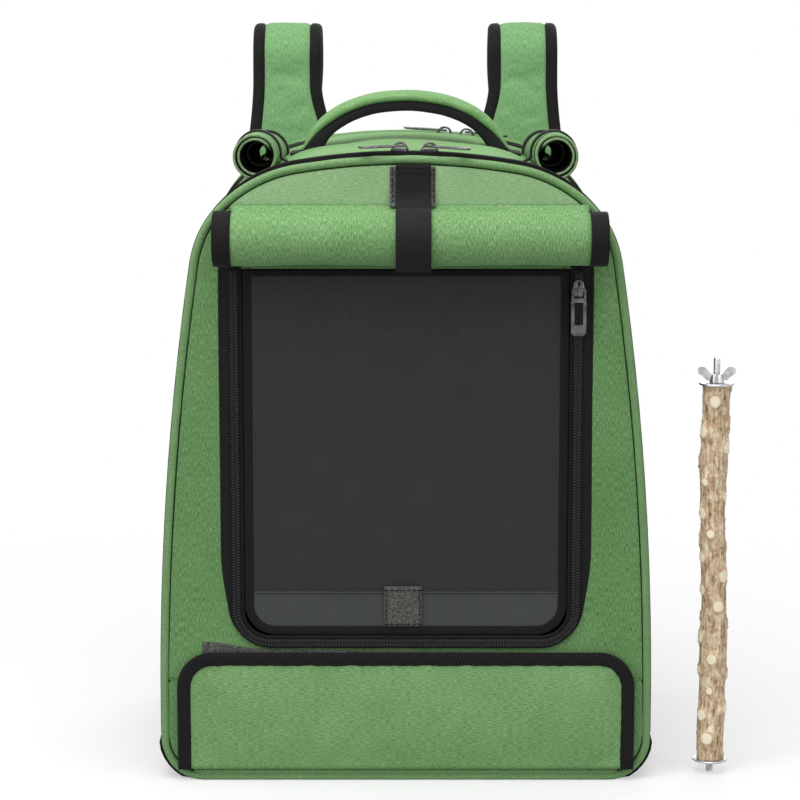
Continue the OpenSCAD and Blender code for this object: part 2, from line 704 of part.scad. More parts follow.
front_roll_c = [front_y - front_roll_r - 0.3, 387.5];
front_roll_core = 7;
front_roll_turns = 3;
roll_binding = 14;             // width of the binding at each end of the front roll
module front_roll_shape() {
  translate(front_roll_c) spiral(front_roll_r, front_roll_core, front_roll_turns, cover_t, 10);
}
module front_roll() color(green)
  across(-front_roll_w / 2 + roll_binding, front_roll_w / 2 - roll_binding) front_roll_shape();
module front_roll_bindings() color(black) both_sides()
  across(front_roll_w / 2 - roll_binding, front_roll_w / 2)
    translate(front_roll_c)
      spiral(front_roll_r + 0.4, front_roll_core, front_roll_turns, cover_t + 0.8, 10);

// The webbing that holds the front roll: sewn down over the patch, round the roll and back
// up behind it.
strap_at = 3;
patch_top = 436;
patch_low = 413;
patch_w = 32;
module strap_patch() color(grey) slab(front_y - 1, front_y)
  region(strap_at - 4 - patch_w / 2, strap_at - 4 + patch_w / 2, patch_low, patch_top);
hold_r = front_roll_r + 0.4 + 0.3 + webbing_t / 2;
roll_web = concat([[front_y - 1 - webbing_t / 2 - 0.1, patch_top + 2],
    [front_y - 1 - webbing_t / 2 - 0.1, patch_low + 2]],
  arc(front_roll_c, hold_r, 62, 265, 18));
module front_roll_strap() color(black)
  across(strap_at - webbing_w / 2, strap_at + webbing_w / 2)
    polygon(ribbon(roll_web, -webbing_t / 2, webbing_t / 2));

// ---------- window door ----------

door_edge = coil_w / 2 + 2.8;  // from the zip's middle to the door's edge
mesh_edge = door_edge + door_border;
function door_shape(g) =
  window(win_x - g, win_low + g, win_top - seat_gap, max(win_r - g, 8) + 4);
door_y = [front_y - 0.4, front_y + 1.2];
module window_mesh() color(grey) slab(door_y[0] + 0.4, door_y[1] - 0.4)
  polygon(door_shape(mesh_edge));
module window_border() color(black) slab(door_y[0], door_y[1])
  frame_of(door_shape(door_edge), door_shape(mesh_edge));
door_patch_w = 26;
door_patch_h = 27;
module window_patch() color(grey) slab(door_y[0] - 0.6, door_y[0] + 0.4)
  translate([-4, win_low + mesh_edge + 0.3])
    region(-door_patch_w / 2, door_patch_w / 2, 0, door_patch_h);

// ---------- tray flap ----------

strip_t = 1.4;
strip_w = 288;                 // width of the loop strip that the flap closes on
strip_low = flap_top - 10.5;   // level of the strip's lower edge, behind the flap
flap_low = 10;
flap_t = 3;
flap_y = [front_y - strip_t - seat_gap - flap_t, front_y - strip_t - seat_gap];
function flap_shape(g) = concat(
  [[flap_w / 2 - g, flap_low], [flap_w / 2 - g, flap_top - g - flap_r]],
  arc([flap_w / 2 - flap_r, flap_top - flap_r], flap_r - g, 0, 90, 8, 1),
  arc([-flap_w / 2 + flap_r, flap_top - flap_r], flap_r - g, 90, 180, 8),
  [[-flap_w / 2 + g, flap_low]]);
flap_play = 1.3;               // between the flap's cloth and its binding's outer edge
module tray_flap() color(green)
  slab(flap_y[0], flap_y[1]) polygon(flap_shape(flap_play));
module tray_flap_binding() color(black) {
  slab(flap_y[0] - 1, flap_y[0]) difference() {
    polygon(flap_shape(0));
    translate([0, -1]) polygon(flap_shape(binding_w));
    region(-flap_w / 2 + binding_w, flap_w / 2 - binding_w, 0, flap_top - flap_r - binding_w);
  }
  slab(flap_y[0] - 1, flap_y[1]) difference() {
    polygon(flap_shape(0));
    polygon(flap_shape(1));
    region(-flap_w / 2 + 1, flap_w / 2 - 1, 0, flap_top - flap_r - binding_w);
  }
}
module flap_loop_strip() color(grey)
  slab(front_y - strip_t, front_y)
    region(-strip_w / 2, strip_w / 2, strip_low, win_low - 5.3);

// ---------- perch ----------

// The branch: a slightly bent stick with knots, made of rings of points from a formula.
branch_rings = 54;
branch_sides = 14;
knots = 15;
function knot_z(k) = (k + 0.5) / knots;
function knot_a(k) = k * 137.5;
function turn_gap(a) = abs((a + 540) % 360 - 180);
function knot_swell(z, a) = max([for (k = [0:knots - 1])
  let (dz = (z - knot_z(k)) * perch_l / 7, da = turn_gap(a - knot_a(k)) / 34)
    exp(-(dz ^ 2 + da ^ 2))]);
function bark(z, a) = perch_r * (1 + 0.05 * sin(a * 2 + z * 500) + 0.04 * sin(z * 1500))
  + 1.9 * knot_swell(z, a);
branch_low = stud_down;
function branch_mid(z) = 1.6 * sin(z * 180) * [sin(z * 340), cos(z * 260)];
module perch_branch() color(wood) {
  rows = [for (i = [0:branch_rings]) let (z = i / branch_rings, m = branch_mid(z))
    [for (j = [0:branch_sides - 1]) let (a = 360 * j / branch_sides, r = bark(z, a))
      [perch_x + m.x + r * cos(a), -perch_y + m.y + r * sin(a), branch_low + z * perch_l]]];
  n = branch_sides;
  polyhedron([for (r = rows) each r], concat(
    [for (i = [0:branch_rings - 1], j = [0:n - 1], k = [0, 1])
      let (a = i * n + j, b = i * n + (j + 1) % n, c = a + n, d = b + n)
      k == 0 ? [a, d, b] : [a, c, d]],
    [[for (j = [0:n - 1]) j], [for (j = [n - 1:-1:0]) branch_rings * n + j]]));
}
washer_t = 1.4;
branch_top = branch_low + perch_l;
module at_perch(z) translate([perch_x, -perch_y, z]) children();
module perch_studs() color(steel) {
  at_perch(0) cylinder(h = stud_down - washer_t, r = stud_r, $fn = 32);
  at_perch(stud_down - washer_t) cylinder(h = washer_t, r = washer_r, $fn = 48);
  at_perch(branch_top) cylinder(h = washer_t, r = washer_r, $fn = 48);
  at_perch(branch_top + washer_t) cylinder(h = stud_up - washer_t, r = stud_r, $fn = 32);
}
// The wing nut: a hub with a bore and two upswept wings.
nut_h = 6;
module perch_wing_nut() color(steel) at_perch(branch_top + washer_t + 0.3) difference() {
  union() {
    rotate_extrude($fn = 48) polygon([[0, 0], [5.2, 0], [4.4, nut_h], [0, nut_h]]);
    for (s = [0, 1]) rotate([0, 0, 180 * s]) translate([0, 1, 0]) rotate([90, 0, 0])
      linear_extrude(2) polygon(concat([[3.6, 1], [7, 1.2], [10.5, 4.5]],
        arc([10.2, 8], 3.2, -60, 150, 8), [[4, 5.6]]));
  }
  translate([0, 0, -1]) cylinder(h = nut_h + 2, r = stud_r + nut_play, $fn = 48);
}

base_section();
base_board();
base_piping();
gusset_left();
gusset_right();
gusset_top();
back_panel();
back_board();
back_pad();
back_piping();
strap_yoke();
side_mesh_left();
side_mesh_right();
side_window_bindings();
side_roll_left();
side_roll_right();
side_roll_straps();
main_zip_tape();
main_zip_coil();
back_zip_tape();
back_zip_coil();
main_slider_left();
main_pull_left();
main_slider_right();
main_pull_right();
back_slider_left();
back_pull_left();
back_slider_right();
back_pull_right();
handle_padding();
handle_webbing();
handle_tabs();
tray();
strap_pad_left();
strap_pad_right();
strap_binding_left();
strap_binding_right();
strap_webbing_left();
strap_webbing_right();
ladder_locks();
strap_anchors();
front_panel();
front_piping();
window_zip_tape();
window_zip_coil();
window_slider();
window_pull();
front_roll();
front_roll_bindings();
front_roll_strap();
strap_patch();
window_mesh();
window_border();
window_patch();
tray_flap();
tray_flap_binding();
flap_loop_strip();
perch_branch();
perch_studs();
perch_wing_nut();
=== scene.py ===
"""Backpack carrier for a small bird, dressed in heather cloth, black twill, mesh and webbing.

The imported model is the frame: it gives every piece its place and holds the hard parts. The cloth,
the padding, the zips, the stitching and the perch's bark are made here around it. Lengths in the
classes are millimetres, and one place turns them into metres.
"""
import functools
import logging
import math
from contextlib import contextmanager
from dataclasses import dataclass
from enum import Enum
from typing import Iterator, Optional, Sequence, Union

import bmesh
import bpy
import numpy as np
from mathutils import Matrix, Vector
from mathutils.bvhtree import BVHTree


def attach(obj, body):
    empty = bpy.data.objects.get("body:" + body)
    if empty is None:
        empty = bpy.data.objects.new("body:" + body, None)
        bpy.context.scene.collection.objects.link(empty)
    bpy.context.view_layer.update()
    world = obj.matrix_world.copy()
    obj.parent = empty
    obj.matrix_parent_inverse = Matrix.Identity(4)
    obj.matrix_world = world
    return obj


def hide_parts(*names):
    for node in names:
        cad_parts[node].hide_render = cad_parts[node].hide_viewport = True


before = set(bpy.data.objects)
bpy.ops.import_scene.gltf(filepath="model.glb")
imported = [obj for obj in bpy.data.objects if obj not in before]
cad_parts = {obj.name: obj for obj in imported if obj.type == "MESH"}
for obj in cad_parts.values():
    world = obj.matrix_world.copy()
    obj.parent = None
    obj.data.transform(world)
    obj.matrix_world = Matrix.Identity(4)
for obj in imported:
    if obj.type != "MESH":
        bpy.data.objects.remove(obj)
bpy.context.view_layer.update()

MM = 0.001
CLOTH_UV = "Cloth"
CLOTH_FRAMES = 16
CLOTH_SLACK = 0.012
LOG = logging.getLogger("bird_carrier")

SIDES = ((1, "right"), (-1, "left"))
MIDDLE = (0.0, 0.0, 225.0)

Points = np.ndarray
Number = Union[float, np.ndarray]
Spot = Sequence[float]
Object = bpy.types.Object
Socket = bpy.types.NodeSocket


class Body(str, Enum):
    """The bodies of the frame that pieces ride on."""

    CARRIER = "carrier"
    COVER = "front_cover"
    DOOR = "window_door"
    FLAP = "tray_flap"


class Slot(str, Enum):
    """The material slots."""

    HEATHER = "heather"
    BOARD = "stiff_board"
    AIR_MESH = "air_mesh"
    BINDING = "binding"
    WEBBING = "webbing"
    MESH = "window_mesh"
    TAPE = "zip_tape"
    COIL = "zip_coil"
    METAL = "slider_metal"
    PLASTIC = "buckle_plastic"
    HOOKS = "hook_and_loop"
    TRAY = "tray_steel"
    WOOD = "perch_wood"
    STEEL = "perch_steel"


# ---------------------------------------------------------------- plane geometry


def smooth(t: Number) -> Number:
    """Returns a soft step from 0 to 1 as t goes from 0 to 1."""
    t = np.clip(t, 0.0, 1.0)
    return t * t * (3 - 2 * t)


def ripple(a: Number, b: Number, size: float, seed: int) -> Number:
    """Slow uneven waves over a sheet, such as cloth has when it isn't pressed.

    Args:
        a: first coordinate on the sheet, in millimetres.
        b: second coordinate on the sheet, in millimetres.
        size: middle length of the waves, in millimetres.
        seed: which set of waves.

    Returns:
        Heights from about -1 to 1.
    """
    rng = np.random.default_rng(seed)
    total = 0.0 * a
    for _ in range(5):
        heading, phase = rng.uniform(0, 2 * math.pi, 2)
        length = size * rng.uniform(0.6, 1.6)
        total = total + np.sin(
            2 * math.pi * (a * math.cos(heading) + b * math.sin(heading)) / length + phase)
    return total / 3.2


def spread(*parts: Number) -> Points:
    """Coordinates put together as points, each repeated to the shape that they share."""
    return np.stack(np.broadcast_arrays(*parts), -1)


def arc(centre: Spot, radius: float, start: float, end: float, count: int) -> Points:
    """Points on a plane arc, with its angles in degrees."""
    turn = np.radians(np.linspace(start, end, count + 1))
    return np.asarray(centre) + radius * np.stack([np.cos(turn), np.sin(turn)], 1)


def lengths(path: Points) -> Points:
    """Distance along a path to each of its points, from 0."""
    steps = np.linalg.norm(np.diff(path, axis=0), axis=1)
    return np.concatenate([[0.0], np.cumsum(steps)])


def spaced(path: Points, step: float, closed: bool = False) -> Points:
    """Points at even steps along a path.

    Args:
        path: the path's own points.
        step: the wanted step, which is rounded to fit the whole length.
        closed: whether the path returns to its first point.

    Returns:
        The even points. On a closed path the first isn't repeated at the end.
    """
    if closed:
        path = np.vstack([path, path[:1]])
    at = lengths(path)
    count = max(2, int(round(at[-1] / step)))
    where = np.linspace(0, at[-1], count + 1)
    even = np.stack([np.interp(where, at, path[:, k]) for k in range(path.shape[1])], 1)
    return even[:-1] if closed else even


def rounded_path(points: Sequence[Spot], step: float) -> Points:
    """A smooth path through a few chosen points, at even steps.

    Args:
        points: the points, in two or three dimensions.
        step: distance between the points of the result.

    Returns:
        The even points.
    """
    p = np.asarray(points, float)
    p = np.vstack([2 * p[0] - p[1], p, 2 * p[-1] - p[-2]])
    t = np.linspace(0, 1, 13)[:, None]
    runs = []
    for k in range(1, len(p) - 2):
        a, b, c, d = p[k - 1:k + 3]
        runs.append(0.5 * (2 * b + (c - a) * t + (2 * a - 5 * b + 4 * c - d) * t ** 2
                           + (3 * b - a - 3 * c + d) * t ** 3))
    whole = np.vstack([r[:-1] for r in runs[:-1]] + [runs[-1]])
    return spaced(whole, step)


def unit(vectors: Points) -> Points:
    """Directions at a length of 1."""
    return vectors / np.linalg.norm(vectors, axis=1, keepdims=True)


def tangents(path: Points, closed: bool = False) -> Points:
    """Unit direction of travel at each point of a path."""
    return unit(np.roll(path, -1, 0) - np.roll(path, 1, 0) if closed else np.gradient(path, axis=0))


def right_of(path: Points, closed: bool = False) -> Points:
    """Unit direction to the right of travel at each point of a plane path."""
    t = tangents(path, closed)
    return spread(t[:, 1], -t[:, 0])


def line(a: Spot, b: Spot, step: float = 4.0) -> Points:
    """A straight path at even steps."""
    return spaced(np.array([a, b], float), step)


@dataclass(frozen=True)
class BagOutline:
    """The bag seen from the front, as arcs that meet smoothly, the same arcs as the frame's."""

    width: float = 346
    height: float = 448
    widest_z: float = 50
    lean: float = 24
    shoulder_z: float = 368
    shoulder_r: float = 88
    corner_r: float = 30

    def centres(self) -> dict[str, tuple]:
        """Centre, radius, start and end angle of each arc of the right half."""
        rise = self.shoulder_z - self.widest_z
        lean_a = 2 * math.atan(self.lean / rise)
        side_r = rise / math.sin(lean_a)
        shoulder = (self.width / 2 - self.lean - self.shoulder_r * math.cos(lean_a),
                    self.shoulder_z - self.shoulder_r * math.sin(lean_a))
        drop = self.height - shoulder[1]
        crown_r = (drop ** 2 + shoulder[0] ** 2 - self.shoulder_r ** 2) / (
            2 * (drop - self.shoulder_r))
        crown_a = math.degrees(math.atan2(shoulder[1] - self.height + crown_r, shoulder[0]))
        lean_a = math.degrees(lean_a)
        return {
            "corner": ((self.width / 2 - self.corner_r, self.corner_r), self.corner_r, -90, 0),
            "side": ((self.width / 2 - side_r, self.widest_z), side_r, 0, lean_a),
            "shoulder": (shoulder, self.shoulder_r, lean_a, crown_a),
            "crown": ((0.0, self.height - crown_r), crown_r, crown_a, 90)}

    def loop(self, step: float, inset: float = 0.0) -> Points:
        """The whole outline, counterclockwise from the middle of the base.

        Args:
            step: distance between the points.
            inset: how far inside the outline the loop runs.

        Returns:
            Points as x and z.
        """
        runs = [arc(c, r - inset, start, end, 48) for c, r, start, end in self.centres().values()]
        half = np.vstack([[[0.0, inset]], *runs])
        whole = np.vstack([half, (half * [-1, 1])[::-1][1:-1]])
        keep = np.concatenate([[True], np.linalg.norm(np.diff(whole, axis=0), axis=1) > 1e-6])
        return spaced(whole[keep], step, closed=True)

    def arch(self, step: float, inset: float, low: float) -> Points:
        """The part of the outline over a level, from the left side over the top to the right.

        Args:
            step: distance between the points.
            inset: how far inside the outline the path runs.
            low: the level where the path starts and ends.

        Returns:
            Points as x and z.
        """
        whole = self.loop(0.5, inset)
        over = whole[whole[:, 1] > low + 0.1][::-1]
        x = float(self.half_width(low, inset))
        return spaced(np.vstack([[[-x, low]], over, [[x, low]]]), step)

    def foot(self, step: float, inset: float, high: float) -> Points:
        """The part of the outline under a level, from the left side round the base to the right."""
        whole = self.loop(0.5, inset)
        half = whole[(whole[:, 1] < high - 0.1) & (whole[:, 0] > 0.2)]
        x = float(self.half_width(high, inset))
        left = (half * [-1, 1])[::-1]
        return spaced(np.vstack([[[-x, high]], left, half, [[x, high]]]), step)

    def half_width(self, level: Number, inset: float = 0.0) -> Number:
        """Distance from the middle to the outline at a level."""
        runs = [arc(c, r - inset, start, end, 90) for c, r, start, end in self.centres().values()]
        half = np.vstack(runs)
        return np.interp(level, half[:, 1], half[:, 0])


@dataclass(frozen=True)
class WindowOutline:
    """A window with a square top and two round bottom corners, seen from the front."""

    half_width: float = 119.5
    low: float = 100
    top: float = 366
    corner_r: float = 24

    def u_path(self, step: float, grow: float = 0.0, top: Optional[float] = None) -> Points:
        """The path down the left side, along the bottom and up the right side.

        Args:
            step: distance between the points.
            grow: how far outside the outline the path runs.
            top: level where the path starts and ends, if not at the window's top.

        Returns:
            Points as x and z.
        """
        x, low, r = self.half_width + grow, self.low - grow, self.corner_r + grow
        top = self.top if top is None else top
        left = arc((-x + r, low + r), r, 180, 270, 24)
        right = arc((x - r, low + r), r, 270, 360, 24)
        return spaced(np.vstack([[[-x, top]], left, right, [[x, top]]]), step)

    def loop(self, step: float, grow: float = 0.0, top: Optional[float] = None) -> Points:
        """The closed window, counterclockwise from its top left corner."""
        return spaced(self.u_path(step, grow, top), step, closed=True)


# ---------------------------------------------------------------- meshes


def at_depth(plane: Points, y: Number = 0.0) -> Points:
    """Points given as x and z, placed at a depth."""
    return spread(plane[..., 0], y, plane[..., 1])


def side_on(plane: Points, x: Number = 0.0) -> Points:
    """Points given as y and z, placed at an x."""
    return spread(x, plane[..., 0], plane[..., 1])


def sweep(path: Points, across: Points, up: Points, section: Points) -> Points:
    """Carries a section along a path.

    Args:
        path: points of the path.
        across: unit direction of the section's first coordinate, one or one for each point.
        up: unit direction of the section's second coordinate, one or one for each point.
        section: the section's points, the same or others for each point of the path.

    Returns:
        A grid of points, with a row for each point of the path.
    """
    across = np.broadcast_to(across, path.shape)[:, None, :]
    up = np.broadcast_to(up, path.shape)[:, None, :]
    section = np.broadcast_to(section, (len(path), *np.shape(section)[-2:]))
    return path[:, None, :] + across * section[..., :1] + up * section[..., 1:]


def flat_section(width: float, thickness: float, edge: int = 3, face: int = 6) -> Points:
    """The section of a webbing or tape: flat faces and round edges.

    Args:
        width: whole width.
        thickness: whole thickness, which the edges are round over.
        edge: segments of each round edge.
        face: segments of each flat face.

    Returns:
        A closed loop of points.
    """
    r = thickness / 2
    right = arc((width / 2 - r, 0), r, -90, 90, edge)
    top = np.stack([np.linspace(width / 2 - r, -width / 2 + r, face + 1), np.full(face + 1, r)], 1)
    half = np.vstack([right, top[1:-1]])
    return np.vstack([half, -half])


def backed(front: Points, y: float) -> Points:
    """A sheet's grid with a flat back at a depth, as a ring."""
    rear = front[:, ::-1].copy()
    rear[..., 1] = y
    return np.concatenate([front, rear], 1)


def circle_section(radius: float, sides: int) -> Points:
    """The section of a round cord."""
    return arc((0, 0), radius, 0, 360 * (1 - 1 / sides), sides - 1)


def placed(name: str, data: bpy.types.ID) -> Object:
    """A new object in the scene, at the origin."""
    obj = bpy.data.objects.new(name, data)
    bpy.context.scene.collection.objects.link(obj)
    return obj


def round_shaded(mesh: bpy.types.Mesh) -> None:
    """Shades all faces of a mesh as a smooth surface."""
    mesh.polygons.foreach_set("use_smooth", [True] * len(mesh.polygons))


@contextmanager
def edited(mesh: bpy.types.Mesh) -> Iterator[bmesh.types.BMesh]:
    """Opens a mesh for edits and writes it back at the end."""
    bm = bmesh.new()
    bm.from_mesh(mesh)
    yield bm
    bm.to_mesh(mesh)
    bm.free()


def make_piece(name: str, verts: Points, faces: Sequence, finishes: Sequence["Finish"],
               uv: Points, picks: Optional[Sequence[int]] = None) -> Object:
    """Makes a smooth-shaded mesh object.

    Args:
        name: the piece's name.
        verts: points in millimetres.
        faces: lists of point numbers.
        finishes: the piece's finishes.
        uv: cloth coordinates in millimetres, one for each corner of each face.
        picks: number of the finish for each face.

    Returns:
        The object, at the origin.
    """
    mesh = bpy.data.meshes.new(name)
    mesh.from_pydata((verts * MM).tolist(), [], faces)
    round_shaded(mesh)
    for finish in finishes:
        mesh.materials.append(finish.material())
    layer = mesh.uv_layers.new(name=CLOTH_UV)
    layer.data.foreach_set("uv", uv.astype(np.float32).ravel())
    if picks is not None:
        mesh.polygons.foreach_set("material_index", picks)
    mesh.update()
    return placed(name, mesh)


def face_out(obj: Object, centre: Spot) -> None:
    """Turns all faces together, so that most of them look away from a point in millimetres."""
    middle = np.asarray(centre) * MM
    if sum(p.area * p.normal.dot(p.center - Vector(middle)) for p in obj.data.polygons) < 0:
        obj.data.flip_normals()


def grid_piece(name: str, grid: Points, finishes: Sequence["Finish"], ring: bool = False,
               caps: bool = False, keep: Optional[Points] = None, picks: Optional[Points] = None,
               flat_uv: bool = False, loop: bool = False, centre: Spot = MIDDLE) -> Object:
    """Makes a mesh from a grid of points, with cloth coordinates measured along it.

    Args:
        name: the piece's name.
        grid: points in millimetres, as rows and columns.
        finishes: the piece's finishes.
        ring: whether the last column joins the first.
        caps: whether the first and last row are closed.
        keep: which cells of the grid to keep.
        picks: number of the finish for each cell, or for each row or column of cells.
        flat_uv: whether the cloth coordinates are x and z.
        loop: whether the last row joins the first.
        centre: the faces look away from this point.

    Returns:
        The object.
    """
    rows, cols = grid.shape[:2]
    wide = np.concatenate([grid, grid[:, :1]], 1) if ring else grid
    wide = np.concatenate([wide, wide[:1]], 0) if loop else wide
    if flat_uv:
        uv = wide[..., [0, 2]]
    else:
        steps_u = np.linalg.norm(np.diff(wide, axis=1), axis=2).mean(0)
        steps_v = np.linalg.norm(np.diff(wide, axis=0), axis=2)
        u = np.concatenate([[0], np.cumsum(steps_u)])
        v = np.concatenate([np.zeros((1, wide.shape[1])), np.cumsum(steps_v, 0)])
        uv = spread(u, v)
    i, j = np.indices((wide.shape[0] - 1, wide.shape[1] - 1))
    kept = np.ones(i.shape, bool) if keep is None else keep
    chosen = None if picks is None else np.broadcast_to(picks, i.shape)[kept].astype(int).tolist()
    i, j = i[kept], j[kept]
    corners = [(i, j), (i, j + 1), (i + 1, j + 1), (i + 1, j)]
    faces = np.stack([(a % rows) * cols + b % cols for a, b in corners], 1).tolist()
    corner_uv = np.stack([uv[a, b] for a, b in corners], 1).reshape(-1, 2)
    for row, order in ((0, -1), (rows - 1, 1)) if caps else ():
        faces.append([row * cols + b for b in range(cols)][::order])
        corner_uv = np.vstack([corner_uv, uv[row, :cols][::order]])
        if chosen is not None:
            chosen.append(0)
    obj = make_piece(name, grid.reshape(-1, 3), faces, finishes, corner_uv, chosen)
    if keep is not None:
        with edited(obj.data) as bm:
            bmesh.ops.delete(bm, geom=[v for v in bm.verts if not v.link_faces], context="VERTS")
    if caps:
        with edited(obj.data) as bm:
            bmesh.ops.recalc_face_normals(bm, faces=bm.faces)
    else:
        face_out(obj, centre)
    return obj


def swept(name: str, path: Points, across: Points, up: Points, section: Points, finish: "Finish",
          side: int = 1, closed: bool = False) -> Object:
    """Makes a solid band or cord from a closed section along a path in space.

    Args:
        name: the piece's name.
        path: the path, as on the right side of the bag.
        across: direction of the section's first coordinate.
        up: direction of the section's second coordinate.
        section: the section.
        finish: the piece's finish.
        side: -1 for a mirrored piece on the left.
        closed: whether the path is a loop.

    Returns:
        The piece.
    """
    grid = sweep(path, across, up, section)
    grid[..., 0] *= side
    return grid_piece(name, grid, [finish], ring=True, caps=not closed, loop=closed)


def applied(obj: Object) -> Object:
    """Turns a piece and its modifiers into a plain mesh."""
    bpy.context.view_layer.update()
    graph = bpy.context.evaluated_depsgraph_get()
    mesh = bpy.data.meshes.new_from_object(obj.evaluated_get(graph), depsgraph=graph)
    obj.modifiers.clear()
    obj.data = mesh
    return obj


def thicken(obj: Object, thickness: float, inward: bool = True, lining: int = 0,
            rim: int = 0) -> None:
    """Gives a sheet its thickness.

    Args:
        obj: the sheet, whose faces look outwards.
        thickness: in millimetres.
        inward: whether the thickness goes in from the sheet's face.
        lining: how many finishes further on the inner face's finish is.
        rim: how many finishes further on the cut edge's finish is.
    """
    solid = obj.modifiers.new("Thickness", "SOLIDIFY")
    solid.thickness = thickness * MM
    solid.offset = -1 if inward else 0
    solid.use_even_offset = True
    solid.material_offset = lining
    solid.material_offset_rim = rim
    applied(obj)


def fill_out(obj: Object, held: Points, pressure: float, most: float) -> None:
    """Lets Blender's cloth round a padded piece out and pucker it, and keeps that form.

    Args:
        obj: the piece, as a mesh without modifiers.
        held: which points are sewn down and stay where they are.
        pressure: how hard the filling pushes.
        most: the furthest that a point may move, in millimetres.
    """
    scene = bpy.context.scene
    rest = np.array([v.co for v in obj.data.vertices])
    sewn = obj.vertex_groups.new(name="sewn")
    sewn.add(np.flatnonzero(held).tolist(), 1.0, "REPLACE")
    cloth = obj.modifiers.new("Cloth", "CLOTH")
    settings = cloth.settings
    settings.vertex_group_mass = sewn.name
    settings.quality = 6
    settings.mass = 0.2
    settings.tension_stiffness = settings.compression_stiffness = 14
    settings.shear_stiffness = 5
    settings.bending_stiffness = 0.4
    settings.use_pressure = True
    settings.uniform_pressure_force = pressure
    settings.shrink_min = -CLOTH_SLACK
    settings.effector_weights.gravity = 0
    cloth.point_cache.frame_end = CLOTH_FRAMES
    for frame_number in range(1, CLOTH_FRAMES + 1):
        scene.frame_set(frame_number)
    graph = bpy.context.evaluated_depsgraph_get()
    settled = np.array([v.co for v in obj.evaluated_get(graph).data.vertices])
    obj.modifiers.clear()
    obj.vertex_groups.clear()
    scene.frame_set(1)
    move = settled - rest
    far = np.linalg.norm(move, axis=1, keepdims=True) / (most * MM)
    move = move * np.tanh(far) / np.maximum(far, 1e-6)
    obj.data.vertices.foreach_set("co", (rest + move).astype(np.float32).ravel())
    obj.data.update()
    LOG.info("%s: moved up to %.1f mm", obj.name, np.linalg.norm(move, axis=1).max() / MM)


def seat(obj: Object, body: Union[Body, str], slot: Slot, *nodes: str) -> None:
    """Puts a finished piece on its body.

    Args:
        obj: the piece, in place.
        body: the body that it rides on.
        slot: not used.
        nodes: the frame's nodes that it stands for.
    """
    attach(obj, body.value if isinstance(body, Body) else body)
    if nodes:
        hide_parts(*nodes)
    LOG.info("%s: %d faces", obj.name, len(obj.data.polygons))


def crisp_copy(node: str, width: float, finish: "Finish", body: Union[Body, str],
               slot: Slot) -> None:
    """Replaces a hard part of the frame with a copy whose edges are broken, as if cast.

    Args:
        node: the frame's node.
        width: width of the broken edge, in millimetres.
        finish: the copy's finish.
        body: the body that it rides on.
        slot: the material slot for it.
    """
    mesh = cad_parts[node].data.copy()
    obj = placed(node + "_cast", mesh)
    with edited(mesh) as bm:
        bmesh.ops.remove_doubles(bm, verts=bm.verts, dist=0.01 * MM)
        bmesh.ops.dissolve_limit(bm, angle_limit=math.radians(1), verts=bm.verts, edges=bm.edges)
    mesh.materials.clear()
    mesh.materials.append(finish.material())
    bevel = obj.modifiers.new("Edges", "BEVEL")
    bevel.width = width * MM
    bevel.segments = 2
    bevel.angle_limit = math.radians(34)
    applied(obj)
    round_shaded(obj.data)
    obj.data.set_sharp_from_angle(angle=math.radians(38))
    seat(obj, body, slot, node)


# ---------------------------------------------------------------- what repeats


def wired(tree: bpy.types.NodeTree, kind: str, values: dict, **settings: object) -> bpy.types.Node:
    """Adds a node to a tree and fills its inputs.

    Args:
        tree: the node tree.
        kind: the node's kind.
        values: what goes into each input, by name or number, as a value or another's output.
        settings: the node's own settings.

    Returns:
        The node.
    """
    node = tree.nodes.new(kind)
    for key, value in settings.items():
        setattr(node, key, value)
    for key, value in values.items():
        if isinstance(value, Socket):
            tree.links.new(value, node.inputs[key])
        else:
            node.inputs[key].default_value = value
    return node


